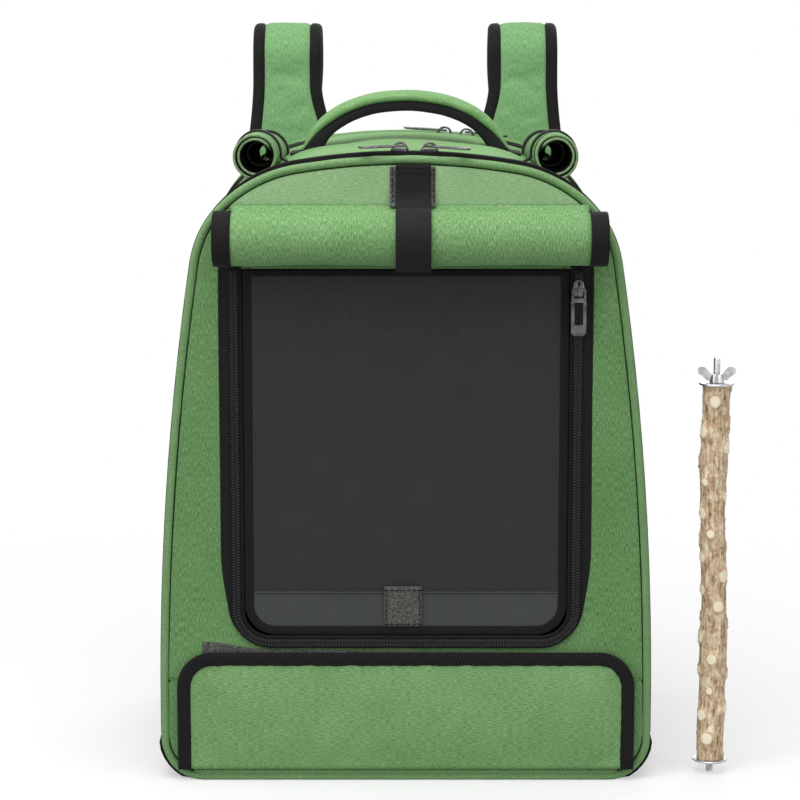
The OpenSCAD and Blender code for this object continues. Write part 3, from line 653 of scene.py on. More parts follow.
class RowOfCopies:
    """A node tree that sets copies of a small mesh along a line, each turned to the line."""

    def __init__(self) -> None:
        """Builds the tree."""
        self.tree = bpy.data.node_groups.new("Row of copies", "GeometryNodeTree")
        face = self.tree.interface
        face.new_socket("Geometry", in_out="INPUT", socket_type="NodeSocketGeometry")
        for label, kind in (("Copied object", "NodeSocketObject"), ("Spacing", "NodeSocketFloat"),
                            ("Finish", "NodeSocketMaterial")):
            face.new_socket(label, in_out="INPUT", socket_type=kind)
        face.new_socket("Geometry", in_out="OUTPUT", socket_type="NodeSocketGeometry")
        given = self._node("NodeGroupInput", {})
        curve = self._node("GeometryNodeMeshToCurve", {0: given["Geometry"]})
        even = self._node("GeometryNodeResampleCurve", {0: curve[0], "Length": given["Spacing"]},
                          mode="LENGTH")
        up = self._node("GeometryNodeInputNamedAttribute", {"Name": "up"},
                        data_type="FLOAT_VECTOR")
        turn = self._node("FunctionNodeAxesToRotation", {
            0: self._node("GeometryNodeInputTangent", {})[0], 1: up[0]},
            primary_axis="X", secondary_axis="Z")
        source = self._node("GeometryNodeObjectInfo", {"Object": given["Copied object"]})
        copies = self._node("GeometryNodeInstanceOnPoints", {
            "Points": even[0], "Instance": source["Geometry"], "Rotation": turn[0]})
        real = self._node("GeometryNodeRealizeInstances", {0: copies[0]})
        painted = self._node("GeometryNodeSetMaterial", {
            "Geometry": real[0], "Material": given["Finish"]})
        self._node("NodeGroupOutput", {0: painted[0]})
        self.sockets = {s.name: s.identifier for s in face.items_tree if s.in_out == "INPUT"}

    def _node(self, kind: str, values: dict, **settings: str) -> bpy.types.bpy_prop_collection:
        """Adds a node to the tree.

        Args:
            kind: the node's kind.
            values: what goes into its inputs.
            settings: the node's own settings.

        Returns:
            The node's outputs.
        """
        return wired(self.tree, kind, values, **settings).outputs

    def run(self, name: str, lines: Sequence[tuple], copied: Object, spacing: float,
            finish: "Finish") -> Object:
        """Sets copies along some lines.

        Args:
            name: the new piece's name.
            lines: pairs of a path and the direction that is up on it, in millimetres.
            copied: the small mesh, with its length along X and its top along Z.
            spacing: distance between copies, in millimetres.
            finish: the copies' finish.

        Returns:
            One plain mesh with all the copies.
        """
        verts, edges, ups = [], [], []
        for path, up in lines:
            first = len(verts)
            verts += (np.asarray(path) * MM).tolist()
            edges += [(first + k, first + k + 1) for k in range(len(path) - 1)]
            ups += np.broadcast_to(up, np.shape(path)).tolist()
        mesh = bpy.data.meshes.new(name)
        mesh.from_pydata(verts, edges, [])
        mesh.attributes.new("up", "FLOAT_VECTOR", "POINT").data.foreach_set(
            "vector", np.asarray(ups, np.float32).ravel())
        obj = placed(name, mesh)
        modifier = obj.modifiers.new("Copies", "NODES")
        modifier.node_group = self.tree
        modifier[self.sockets["Copied object"]] = copied
        modifier[self.sockets["Spacing"]] = spacing * MM
        modifier[self.sockets["Finish"]] = finish.material()
        applied(obj)
        round_shaded(obj.data)
        return obj


class SmallShapes:
    """The small meshes that rows are made of."""

    def __init__(self) -> None:
        """Starts with no shapes."""
        self.made: list[Object] = []

    def tube(self, name: str, path: Sequence[Spot], radius: Sequence[float]) -> Object:
        """A short closed tube with six sides.

        Args:
            name: the shape's name.
            path: the tube's points in millimetres.
            radius: its radius at each point.

        Returns:
            The object, which clear() removes.
        """
        p = np.asarray(path, float)
        along = tangents(p)
        side = np.cross(along, [0, 0, 1.0])
        side[np.linalg.norm(side, axis=1) < 0.2] = [0, 1, 0]
        side = unit(side)
        section = np.asarray(radius)[:, None, None] * circle_section(1.0, 6)
        obj = swept(name, p, side, np.cross(side, along), section, BLACK_THREAD)
        self.made.append(obj)
        return obj

    def stitch(self, length: float, width: float) -> Object:
        """One stitch, sunk at both ends."""
        h = length / 2
        path = [(-h, 0, -width * 0.5), (-h * 0.7, 0, width * 0.12), (0, 0, width * 0.25),
                (h * 0.7, 0, width * 0.12), (h, 0, -width * 0.5)]
        thin, thick = width * 0.3, width / 2
        return self.tube("stitch", path, [thin, thick, thick, thick, thin])

    def clear(self) -> None:
        """Removes the small meshes once the rows are made."""
        for obj in self.made:
            bpy.data.objects.remove(obj)
        self.made.clear()


# ---------------------------------------------------------------- finishes


def paint(red: float, green: float, blue: float) -> tuple[float, float, float, float]:
    """A colour seen on a screen, from 0 to 255, as the light that it gives back."""
    parts = [c / 255 for c in (red, green, blue)]
    return (*[c / 12.92 if c <= 0.04045 else ((c + 0.055) / 1.055) ** 2.4 for c in parts], 1.0)


class Placing(Enum):
    """What a finish's pattern follows."""

    CLOTH = "cloth"
    PLACE = "place"


class Bench:
    """The node tree of one finish, with short calls that add and wire nodes."""

    def __init__(self, name: str) -> None:
        """Starts an empty tree for a material of this name."""
        self.material = bpy.data.materials.new(name)
        self.material.use_nodes = True
        self.tree = self.material.node_tree
        self.tree.nodes.clear()

    def add(self, kind: str, values: dict, **settings: object) -> bpy.types.bpy_prop_collection:
        """Adds a node.

        Args:
            kind: the node's kind, without its prefix.
            values: what goes into each input, by name or number, as a value or another's output.
            settings: the node's own settings.

        Returns:
            The node's outputs.
        """
        return wired(self.tree, "ShaderNode" + kind, values, **settings).outputs

    def place(self, placing: Placing) -> Socket:
        """The pattern's coordinates in millimetres."""
        if placing is Placing.CLOTH:
            return self.add("UVMap", {}, uv_map=CLOTH_UV)[0]
        return self.stretched(self.add("TexCoord", {})["Object"], (1 / MM, 1 / MM, 1 / MM))

    def stretched(self, where: Socket, scale: Spot, turn: float = 0.0) -> Socket:
        """Coordinates turned in their plane, in degrees, and then scaled."""
        turned = self.add("Mapping", {0: where, "Rotation": (0, 0, math.radians(turn))})[0]
        return self.add("Mapping", {0: turned, "Scale": tuple(scale)})[0]

    def noise(self, where: Socket, size: float, detail: float = 2.0, rough: float = 0.55) -> Socket:
        """Uneven spots of about a size in millimetres."""
        return self.add("TexNoise", {"Vector": where, "Scale": 1 / size, "Detail": detail,
                                     "Roughness": rough})[0]

    def bands(self, where: Socket, period: float, axis: str) -> Socket:
        """Soft bands across an axis, with a period in millimetres."""
        return self.add("TexWave", {"Vector": where, "Scale": math.pi / 10 / period},
                        bands_direction=axis)["Fac"]

    def math(self, operation: str, a: object, b: object = 0.0) -> Socket:
        """One sum on two values."""
        return self.add("Math", {0: a, 1: b}, operation=operation)[0]

    def weighed(self, *parts: tuple) -> Socket:
        """A sum of values, each with its weight."""
        shares = [self.math("MULTIPLY", value, weight) for value, weight in parts]
        return functools.reduce(lambda a, b: self.math("ADD", a, b), shares)

    def ramp(self, value: Socket, *stops: tuple) -> Socket:
        """Colours that follow a value.

        Args:
            value: the value, from 0 to 1.
            stops: pairs of a place and a screen colour or a number.

        Returns:
            The colour.
        """
        node = wired(self.tree, "ShaderNodeValToRGB", {0: value})
        stopped = node.color_ramp.elements
        while len(stopped) < len(stops):
            stopped.new(0.5)
        for element, (at, shade) in zip(stopped, stops):
            element.position = at
            element.color = paint(*shade) if isinstance(shade, tuple) else (shade, shade, shade, 1)
        return node.outputs[0]

    def bump(self, height: Socket, depth: float, strength: float) -> Socket:
        """A relief whose depth is in millimetres."""
        return self.add("Bump", {"Height": height, "Distance": depth * MM, "Strength": strength})[0]

    def finish(self, colour: Socket, roughness: object, normal: Socket,
               **values: float) -> bpy.types.Material:
        """Ends the tree with the surface.

        Args:
            colour: the surface's colour.
            roughness: its roughness, as a number or another's output.
            normal: its relief.
            values: its other inputs, with underscores for spaces.

        Returns:
            The material.
        """
        given = {key.replace("_", " "): value for key, value in values.items()}
        surface = self.add("BsdfPrincipled", {"Base Color": colour, "Roughness": roughness,
                                              "Normal": normal, **given})
        self.add("OutputMaterial", {"Surface": surface[0]})
        return self.material

    def soft_finish(self, colour: Socket, roughness: float, normal: Socket, sheen: float,
                    shine: float, sheen_roughness: float = 0.4) -> bpy.types.Material:
        """Ends the tree with a surface of yarn.

        Args:
            colour: the surface's colour.
            roughness: its roughness.
            normal: its relief.
            sheen: how much the fine hairs on it catch the light.
            shine: how much it reflects.
            sheen_roughness: how evenly the hairs stand.

        Returns:
            The material.
        """
        return self.finish(colour, roughness, normal, Sheen_Weight=sheen,
                           Sheen_Roughness=sheen_roughness, Specular_IOR_Level=shine)


@dataclass(frozen=True)
class Finish:
    """A finish with a name, whose material is made once."""

    name: str
    placing: Placing = Placing.CLOTH

    def material(self) -> bpy.types.Material:
        """The finish's material, made at its first use."""
        found = bpy.data.materials.get(self.name)
        return found or self.build(Bench(self.name))

    def build(self, bench: Bench) -> bpy.types.Material:
        """Makes the material."""
        raise NotImplementedError


@dataclass(frozen=True)
class Heather(Finish):
    """Two-tone polyester canvas, green with paler and darker flecks that run along the yarn."""

    deep: tuple = (66, 106, 55)
    middle: tuple = (94, 136, 82)
    pale: tuple = (112, 152, 99)
    fleck: tuple = (150, 174, 130)
    fleck_length: float = 3.6
    fleck_width: float = 0.62
    turn: float = 0.0

    def build(self, bench: Bench) -> bpy.types.Material:
        """Makes the material."""
        cloth = bench.place(self.placing)
        run = (1 / self.fleck_width, 1 / self.fleck_length, 1 / self.fleck_length)
        if self.placing is Placing.PLACE:
            run = (1 / self.fleck_width, 1 / self.fleck_width, 1 / self.fleck_length)
        streak = bench.noise(bench.stretched(cloth, run, self.turn), 1.0, 2.0, 0.6)
        speck = bench.noise(cloth, 0.72, 2.0, 0.6)
        broad = bench.noise(cloth, 55.0, 2.0)
        tone = bench.weighed((streak, 0.5), (speck, 0.4), (broad, 0.1))
        colour = bench.ramp(tone, (0.36, self.deep), (0.475, self.middle), (0.545, self.pale),
                            (0.66, self.fleck))
        weave = bench.math("MULTIPLY", bench.bands(cloth, 0.9, "X"), bench.bands(cloth, 0.9, "Y"))
        relief = bench.weighed((weave, 0.5), (speck, 0.6), (streak, 0.4))
        return bench.soft_finish(colour, 0.88, bench.bump(relief, 0.16, 0.75), 0.06, 0.14, 0.45)


@dataclass(frozen=True)
class Twill(Finish):
    """A black tape with diagonal ribs."""

    dark: tuple = (12, 12, 12)
    light: tuple = (38, 38, 38)
    period: float = 1.5
    turn: float = 38.0

    def build(self, bench: Bench) -> bpy.types.Material:
        """Makes the material."""
        cloth = bench.place(self.placing)
        ribs = bench.bands(bench.stretched(cloth, (1, 1, 1), self.turn), self.period, "X")
        fuzz = bench.noise(cloth, 0.8, 3.0, 0.65)
        tone = bench.weighed((ribs, 0.45), (fuzz, 0.7))
        colour = bench.ramp(tone, (0.25, self.dark), (0.95, self.light))
        return bench.soft_finish(colour, 0.8, bench.bump(tone, 0.2, 0.8), 0.03, 0.1)


@dataclass(frozen=True)
class ChevronTape(Finish):
    """A woven zip tape whose ribs lean to both sides of its middle."""

    dark: tuple = (13, 13, 14)
    light: tuple = (37, 37, 39)
    middle_u: float = 12.4
    period: float = 1.9

    def build(self, bench: Bench) -> bpy.types.Material:
        """Makes the material."""
        cloth = bench.place(self.placing)
        parts = bench.add("SeparateXYZ", {0: cloth})
        off = bench.math("ABSOLUTE", bench.math("SUBTRACT", parts[0], self.middle_u))
        lean = bench.math("MULTIPLY", bench.math("ADD", off, parts[1]), 2 * math.pi / self.period)
        ribs = bench.weighed((bench.math("SINE", lean), 0.5), (bench.noise(cloth, 0.7), 0.5))
        colour = bench.ramp(bench.math("ADD", ribs, 0.25), (0.1, self.dark), (0.9, self.light))
        return bench.soft_finish(colour, 0.78, bench.bump(ribs, 0.2, 0.8), 0.02, 0.12)


@dataclass(frozen=True)
class Webbing(Finish):
    """Heavy webbing with close ribs across it."""

    dark: tuple = (10, 10, 10)
    light: tuple = (38, 38, 39)
    rib: float = 1.45

    def build(self, bench: Bench) -> bpy.types.Material:
        """Makes the material."""
        cloth = bench.place(self.placing)
        tone = bench.weighed((bench.bands(cloth, self.rib, "Y"), 0.55),
                             (bench.bands(cloth, 1.1, "X"), 0.2),
                             (bench.noise(cloth, 0.9, 3.0), 0.35))
        colour = bench.ramp(tone, (0.2, self.dark), (1.0, self.light))
        return bench.soft_finish(colour, 0.72, bench.bump(tone, 0.3, 0.85), 0.03, 0.15)


@dataclass(frozen=True)
class FineMesh(Finish):
    """Dark woven window mesh, close enough to hide what is behind it."""

    hole: tuple = (21, 22, 23)
    yarn: tuple = (54, 56, 57)
    pitch: float = 1.35

    def build(self, bench: Bench) -> bpy.types.Material:
        """Makes the material."""
        cloth = bench.place(self.placing)
        yarns = bench.math("MAXIMUM", bench.bands(cloth, self.pitch, "X"),
                           bench.bands(cloth, self.pitch, "Y"))
        tone = bench.weighed((yarns, 0.8), (bench.noise(cloth, 26.0, 3.0), 0.2),
                             (bench.noise(cloth, 1.8), 0.2))
        colour = bench.ramp(tone, (0.35, self.hole), (1.05, self.yarn))
        return bench.soft_finish(colour, 0.6, bench.bump(yarns, 0.12, 0.6), 0.02, 0.16, 0.5)


@dataclass(frozen=True)
class SpacerMesh(Finish):
    """Soft black spacer mesh with rows of small round holes."""

    yarn: tuple = (32, 32, 33)
    hole: tuple = (6, 6, 6)
    pitch: float = 3.2

    def build(self, bench: Bench) -> bpy.types.Material:
        """Makes the material."""
        place = bench.place(self.placing)
        cells = bench.add("TexVoronoi", {"Vector": place, "Scale": 1 / self.pitch,
                                         "Randomness": 0.12})
        hole = bench.ramp(cells["Distance"], (0.18, 0.0), (0.36, 1.0))
        tone = bench.weighed((hole, 0.75), (bench.noise(place, 0.7, 3.0), 0.25))
        colour = bench.ramp(tone, (0.1, self.hole), (0.9, self.yarn))
        return bench.soft_finish(colour, 0.9, bench.bump(tone, 0.5, 0.8), 0.06, 0.1, 0.5)


@dataclass(frozen=True)
class Pile(Finish):
    """The tangled face of loop tape."""

    dark: tuple = (36, 37, 35)
    light: tuple = (116, 118, 113)
    size: float = 1.1

    def build(self, bench: Bench) -> bpy.types.Material:
        """Makes the material."""
        tangle = bench.noise(bench.place(self.placing), self.size, 4.0, 0.7)
        colour = bench.ramp(tangle, (0.36, self.dark), (0.66, self.light))
        return bench.soft_finish(colour, 0.92, bench.bump(tangle, 0.5, 0.9), 0.08, 0.1, 0.5)


@dataclass(frozen=True)
class Plain(Finish):
    """Yarn, nylon, lining or moulded plastic: one colour with a fine uneven grain."""

    colour: tuple = (22, 22, 23)
    worn: tuple = (40, 40, 42)
    grain: float = 0.9
    depth: float = 0.06
    roughness: float = 0.6
    sheen: float = 0.0
    shine: float = 0.25

    def build(self, bench: Bench) -> bpy.types.Material:
        """Makes the material."""
        grain = bench.noise(bench.place(self.placing), self.grain, 3.0, 0.6)
        colour = bench.ramp(grain, (0.38, self.colour), (0.68, self.worn))
        return bench.soft_finish(colour, self.roughness, bench.bump(grain, self.depth, 0.6),
                                 self.sheen, self.shine)


@dataclass(frozen=True)
class Metal(Finish):
    """Plated or brushed metal with faint scratches and a worn bloom."""

    colour: tuple = (108, 107, 110)
    dull: tuple = (70, 69, 72)
    scratch: Sequence[float] = (1.0, 0.12, 1.0)
    smoothest: float = 0.22
    roughest: float = 0.42
    depth: float = 0.02

    def build(self, bench: Bench) -> bpy.types.Material:
        """Makes the material."""
        place = bench.place(self.placing)
        lines = bench.noise(bench.stretched(place, self.scratch), 0.5, 3.0, 0.6)
        bloom = bench.noise(place, 5.0, 3.0, 0.6)
        colour = bench.ramp(bloom, (0.35, self.dull), (0.62, self.colour))
        rough = bench.ramp(bench.weighed((lines, 0.5), (bloom, 0.5)), (0.35, self.smoothest),
                           (0.65, self.roughest))
        return bench.finish(colour, rough, bench.bump(lines, self.depth, 0.4), Metallic=0.95)


@dataclass(frozen=True)
class Bark(Finish):
    """Thin bark with pale trimmed knots, which the mesh marks with its knot attribute."""

    crevice: tuple = (118, 90, 64)
    bark: tuple = (208, 180, 148)
    flake: tuple = (250, 238, 216)
    knot: tuple = (250, 240, 214)
    knot_ring: tuple = (214, 180, 134)

    def build(self, bench: Bench) -> bpy.types.Material:
        """Makes the material."""
        place = bench.place(self.placing)
        furrow = bench.noise(bench.stretched(place, (1.0, 1.0, 0.22)), 2.2, 4.0, 0.65)
        flakes = bench.noise(place, 5.0, 4.0, 0.7)
        tone = bench.weighed((furrow, 0.6), (flakes, 0.4))
        skin = bench.ramp(tone, (0.36, self.crevice), (0.5, self.bark), (0.64, self.flake))
        mark = bench.add("Attribute", {}, attribute_name="knot")["Fac"]
        heart = bench.ramp(bench.weighed((mark, 1.0), (flakes, 0.14)), (0.62, self.knot_ring),
                           (0.74, self.knot))
        share = bench.ramp(bench.weighed((mark, 1.0), (flakes, 0.2)), (0.54, 0.0), (0.64, 1.0))
        colour = bench.add("Mix", {"Factor": share, 6: skin, 7: heart}, data_type="RGBA")[2]
        return bench.finish(colour, 0.82, bench.bump(tone, 0.9, 0.8), Specular_IOR_Level=0.25)


HEATHER_UP = Heather("heather_flecks_up")
# Flecks that run across are the cloth's own; the colours are also painted lighter than HEATHER_UP's, a
# painted sheen of the overhead light.
HEATHER_ACROSS = Heather("heather_flecks_across", deep=(85, 125, 72), middle=(112, 154, 98),
                         pale=(127, 167, 112), fleck=(158, 181, 140), turn=90.0)
# Painted top light: the front panel's own heather, painted lighter and greyer above the roll's seam to
# stand for the sheen of the light from above.
HEATHER_PAINTED_TOP_LIGHT = Heather("heather_painted_top_light", deep=(117, 155, 106), middle=(139, 174, 127),
                       pale=(151, 185, 138), fleck=(175, 195, 158), turn=90.0)
# Painted sheen: the same heather as the panel's, painted lighter on the straps to stand for the light
# from above glancing off them.
HEATHER_STRAP_PAINTED_SHEEN = Heather("heather_on_straps_painted_sheen", deep=(84, 127, 78), middle=(109, 154, 102),
                        pale=(122, 166, 114), fleck=(150, 180, 138))
HEATHER_ROLL = Heather("heather_on_roll", deep=(70, 112, 58), middle=(104, 148, 92),
                       pale=(124, 164, 110), fleck=(176, 188, 148))
HEATHER_BIAS = Heather("heather_on_piping", deep=(86, 122, 74), middle=(110, 148, 97),
                       pale=(124, 160, 110), fleck=(150, 174, 130), turn=45.0, fleck_length=3.0)
# Painted shade: a dark green for the shadow in the groove between the front piping and the panel.
GROOVE_SHADE_GREEN = Plain("green_seam_shadow", Placing.PLACE, (26, 46, 21), (44, 70, 36), 0.6, 0.05, 0.9,
                   0.0, 0.05)
CUT_EDGE = Plain("cut_heather_edge", Placing.PLACE, (96, 128, 82), (158, 182, 142), 0.8, 0.3, 0.9,
                 0.05, 0.1)
LINING = Plain("black_lining", Placing.PLACE, (9, 9, 9), (22, 22, 22), 1.2, 0.05, 0.8, 0.02, 0.08)
TWILL = Twill("black_twill")
TAPE = ChevronTape("zip_tape_chevron")
ARCH_TAPE = ChevronTape("arch_zip_tape_chevron", middle_u=7.5)
RIBBED = Webbing("ribbed_webbing")
WINDOW_MESH = FineMesh("window_mesh_weave")
HEM_MESH = FineMesh("window_mesh_hem", hole=(40, 42, 42), yarn=(76, 79, 79))
SPACER = SpacerMesh("spacer_mesh", Placing.PLACE)
PILE = Pile("loop_pile", Placing.PLACE)
BLACK_THREAD = Plain("black_thread", Placing.PLACE, (12, 12, 12), (34, 34, 34), 0.5, 0.05, 0.6, 0.03,
                     0.15)
GREEN_THREAD = Plain("green_thread", Placing.PLACE, (66, 104, 56), (98, 136, 84), 0.5, 0.05, 0.6,
                     0.05, 0.15)
NYLON = Plain("zip_coil_nylon", Placing.PLACE, (17, 17, 18), (44, 44, 47), 0.7, 0.03, 0.38)
ACETAL = Plain("buckle_acetal", Placing.PLACE, (20, 20, 21), (30, 30, 32), 0.6, 0.03, 0.42)
BOARD = Plain("grey_board", Placing.PLACE, (44, 45, 47), (62, 63, 65), 2.0, 0.1, 0.7)
GUNMETAL = Metal("gunmetal_plating", Placing.PLACE)
ZINC = Metal("zinc_plating", Placing.PLACE, (206, 206, 208), (168, 168, 172), (1.0, 1.0, 0.15), 0.2,
             0.4)
TRAY_STEEL = Metal("brushed_tray_steel", Placing.PLACE, (222, 223, 225), (212, 213, 216),
                   (0.05, 1.0, 1.0), 0.3, 0.4, 0.004)
BARK = Bark("branch_bark", Placing.PLACE)
BASE_CLOTH = Plain("black_base_cloth", Placing.PLACE, (13, 13, 13), (30, 30, 30), 0.9, 0.12, 0.75,
                   0.03, 0.1)


# ---------------------------------------------------------------- the shell


FRONT_Y, BACK_Y = -120.0, 120.0
RING_FRONT, RING_BACK = -116.7, 117.0
GUSSET_IN = 3.0
GUSSET_Y = 102.8
WALL = 3.0
HINGE_Z = 8.0
BASE_Z = 72.0
SPLIT_Z = 424.0
FRONTWARDS, BACKWARDS, RIGHTWARDS = -np.eye(3)[1], np.eye(3)[1], np.eye(3)[0]
BAG = BagOutline()
WINDOW = WindowOutline()


def sunk(plane: Points, depth: float = 4.8, rise: float = 62.0) -> Points:
    """A path on the front edge, let down a little at the crown so that the zip shows over it."""
    return plane - spread(0, depth * smooth((plane[:, 1] - 380) / rise))


def plane_sweep(name: str, plane: Points, y: float, section: Points, finish: Finish,
                closed: bool = False) -> Object:
    """Sweeps a closed section along a path that lies in a plane of constant depth.

    Args:
        name: the piece's name.
        plane: the path as x and z.
        y: depth of the path.
        section: its first coordinate is to the right of travel, its second towards the front.
        finish: the piece's finish.
        closed: whether the path is a loop.

    Returns:
        The piece.
    """
    return swept(name, at_depth(plane, y), at_depth(right_of(plane, closed)), FRONTWARDS, section,
                 finish, closed=closed)


def ribbon(name: str, path: Points, x: Number, section: Points, finish: Finish,
           side: int = 1) -> Object:
    """Makes a band along a path seen from the side, as y and z, with its middle at an x."""
    return swept(name, side_on(path, x), RIGHTWARDS, -side_on(right_of(path)), section, finish, side)


def trim(name: str, plane: Points, y: float, size: tuple, finish: Finish, body: Body, slot: Slot,
         *nodes: str) -> None:
    """Makes a tape along a plane path and puts it on its body.

    Args:
        name: the piece's name.
        plane: the tape's middle as x and z.
        y: depth of its middle.
        size: its width, its thickness, and the segments of its edges and faces.
        finish: its finish.
        body: the body that it rides on.
        slot: the material slot for it.
        nodes: the frame's nodes that it stands for.
    """
    seat(plane_sweep(name, plane, y, flat_section(*size), finish), body, slot, *nodes)


def outward(plane: Points) -> Points:
    """Unit direction out of the bag at each point of a plane path."""
    out = right_of(plane)
    return out * np.sign((out * (plane - [0, MIDDLE[2]])).sum(1, keepdims=True))


def wall_sheet(plane: Points, ys: Points, lift: Points) -> Points:
    """A sheet that stands on a plane path and reaches from front to back.

    Args:
        plane: the path as x and z, from left to right over the top, or round the base.
        ys: depths of the sheet's columns.
        lift: how far each point of the sheet lies outside the path.

    Returns:
        The grid of points, with a row for each point of the path.
    """
    flat = spread(plane[:, :1], ys, plane[:, 1:])
    return flat + at_depth(outward(plane))[:, None, :] * lift[..., None]


@dataclass(frozen=True)
class FrontPanel:
    """The laminated front panel with its window opening and the tray slot behind the flap."""

    centre: tuple = (0.0, 233.0)
    rows: int = 26
    groove: float = 1.5
    puff: float = 0.9
    slot_half: float = 133.0
    slot_low: float = 14.0
    slot_high: float = 49.0
    yoke_z: float = 408.0
    crease_depth: float = 0.9
    crease_half: float = 1.6

    def crease(self, obj: Object, level: float) -> None:
        """Pulls the cloth in along a seam that runs across the sheet.

        Args:
            obj: the panel, still a sheet.
            level: height of the seam in millimetres.
        """
        with edited(obj.data) as bm:
            for z in (level - self.crease_half, level, level + self.crease_half):
                bmesh.ops.bisect_plane(bm, geom=[*bm.verts, *bm.edges, *bm.faces], dist=1e-6,
                                       plane_co=(0, 0, z * MM), plane_no=(0, 0, 1))
            for vert in bm.verts:
                if abs(vert.co.z - level * MM) < 1e-5:
                    vert.co.y += self.crease_depth * MM
        round_shaded(obj.data)

    def build(self) -> None:
        """Makes the panel."""
        arch = sunk(BAG.arch(4.0, 1.0, HINGE_Z))
        outer = np.vstack([arch, line(arch[-1], arch[0])[1:-1]]) - self.centre
        angle = np.arctan2(outer[:, 1], outer[:, 0])
        inner = WINDOW.loop(1.0, 3.2) - self.centre
        seen = np.arctan2(inner[:, 1], inner[:, 0])
        order = np.argsort(seen)
        reach = np.interp(angle, seen[order], np.hypot(*inner[order].T), period=2 * math.pi)
        near = reach[:, None] * spread(np.cos(angle), np.sin(angle))
        share = (1 - np.cos(np.linspace(0, math.pi, self.rows)))[:, None] / 2
        plane = near + (outer - near) * share[..., None] + self.centre
        gap = np.linalg.norm(outer - near, axis=1) * (1 - share)
        swell = np.sin(math.pi * share) * (
            self.puff + 0.35 * ripple(plane[..., 0], plane[..., 1], 85, 3))
        y = FRONT_Y - swell + self.groove * (1 - smooth(gap / 7))
        obj = grid_piece("front_panel_cloth", at_depth(plane, y), [
            HEATHER_UP, LINING, TWILL, HEATHER_PAINTED_TOP_LIGHT, LINING, TWILL], ring=True, flat_uv=True)
        for level in (BASE_Z, self.yoke_z):
            self.crease(obj, level)
        # Faces above the roll's seam take the heather with painted top light; the faces below take the
        # plain heather.
        for face in obj.data.polygons:
            face.material_index = 3 if face.center.z > self.yoke_z * MM else 0
        thicken(obj, WALL, lining=1, rim=2)
        self.cut_slot(obj)
        seat(obj, Body.COVER, Slot.HEATHER, "front_panel")

    def cut_slot(self, obj: Object) -> None:
        """Cuts the slot that the tray slides out through."""
        middle, height = (self.slot_low + self.slot_high) / 2, self.slot_high - self.slot_low
        mesh = bpy.data.meshes.new("slot_tool")
        with edited(mesh) as bm:
            bmesh.ops.create_cube(bm, size=1.0)
        mesh.transform(Matrix.LocRotScale(
            Vector((0, FRONT_Y, middle)) * MM, None,
            Vector((2 * self.slot_half, 10 * WALL, height)) * MM))
        cut = obj.modifiers.new("Slot", "BOOLEAN")
        cut.operation = "DIFFERENCE"
        cut.solver = "EXACT"
        cut.object = placed("slot_tool", mesh)
        applied(obj)
        bpy.data.objects.remove(bpy.data.objects["slot_tool"])


@dataclass(frozen=True)
class Pipings:
    """The round green pipings on the front and back edges."""

    radius: float = 2.8
    inset: float = 1.8
    depth: float = 118.8

    def cord(self, name: str, plane: Points, y: float, seed: int, body: Body,
             closed: bool = False) -> None:
        """One run of piping, slightly uneven where its bias cloth puckers.

        Args:
            name: the frame's node that it stands for.
            plane: the piping's middle as x and z.
            y: depth of its middle.
            seed: which unevenness.
            body: the body that it rides on.
            closed: whether it is a loop.
        """
        at = np.arange(len(plane)) * 2.0
        size = self.radius * (1 + 0.035 * ripple(at, 0 * at, 17, seed))
        section = size[:, None, None] * circle_section(1.0, 14)
        obj = plane_sweep(f"{name}_cord", plane, y, section, HEATHER_BIAS, closed)
        seat(obj, body, Slot.HEATHER, name)

    def build(self) -> None:
        """Makes the three runs, a thin strip of painted shade in the groove inside the front run, and
        the arch's black edges.
        """
        upper = sunk(BAG.arch(2.0, self.inset, HINGE_Z + 0.15))
        self.cord("front_piping", upper, -self.depth, 11, Body.COVER)
        lower = BAG.foot(2.0, self.inset, HINGE_Z - 0.15)
        self.cord("base_piping", lower, -self.depth, 12, Body.CARRIER)
        self.cord("back_piping", BAG.loop(2.0, self.inset), self.depth, 13, Body.CARRIER, True)
        # A thin dark strip of painted shade, laid in the groove inside the front piping.
        groove = sunk(BAG.arch(3.0, self.inset + self.radius + 0.4, HINGE_Z + 0.6))
        trim("front_piping_seam", groove, FRONT_Y + 0.35, (1.3, 0.7, 2, 2), GROOVE_SHADE_GREEN, Body.COVER,
             Slot.HEATHER)
        for y, inwards, name in ((RING_FRONT, 1, "front"), (RING_BACK, -1, "back")):
            for part, inset, back, size in (("tape", -0.6, 2.2, (2.6, 3.6, 3, 3)),
                                            ("web", 2.0, 0.9, (4.4, 1.4, 3, 3))):
                trim(f"{name}_seam_{part}", sunk(BAG.arch(3.0, inset, 33.0), 2.6, 40.0),
                     y + inwards * back, size, TWILL, Body.CARRIER, Slot.BINDING)


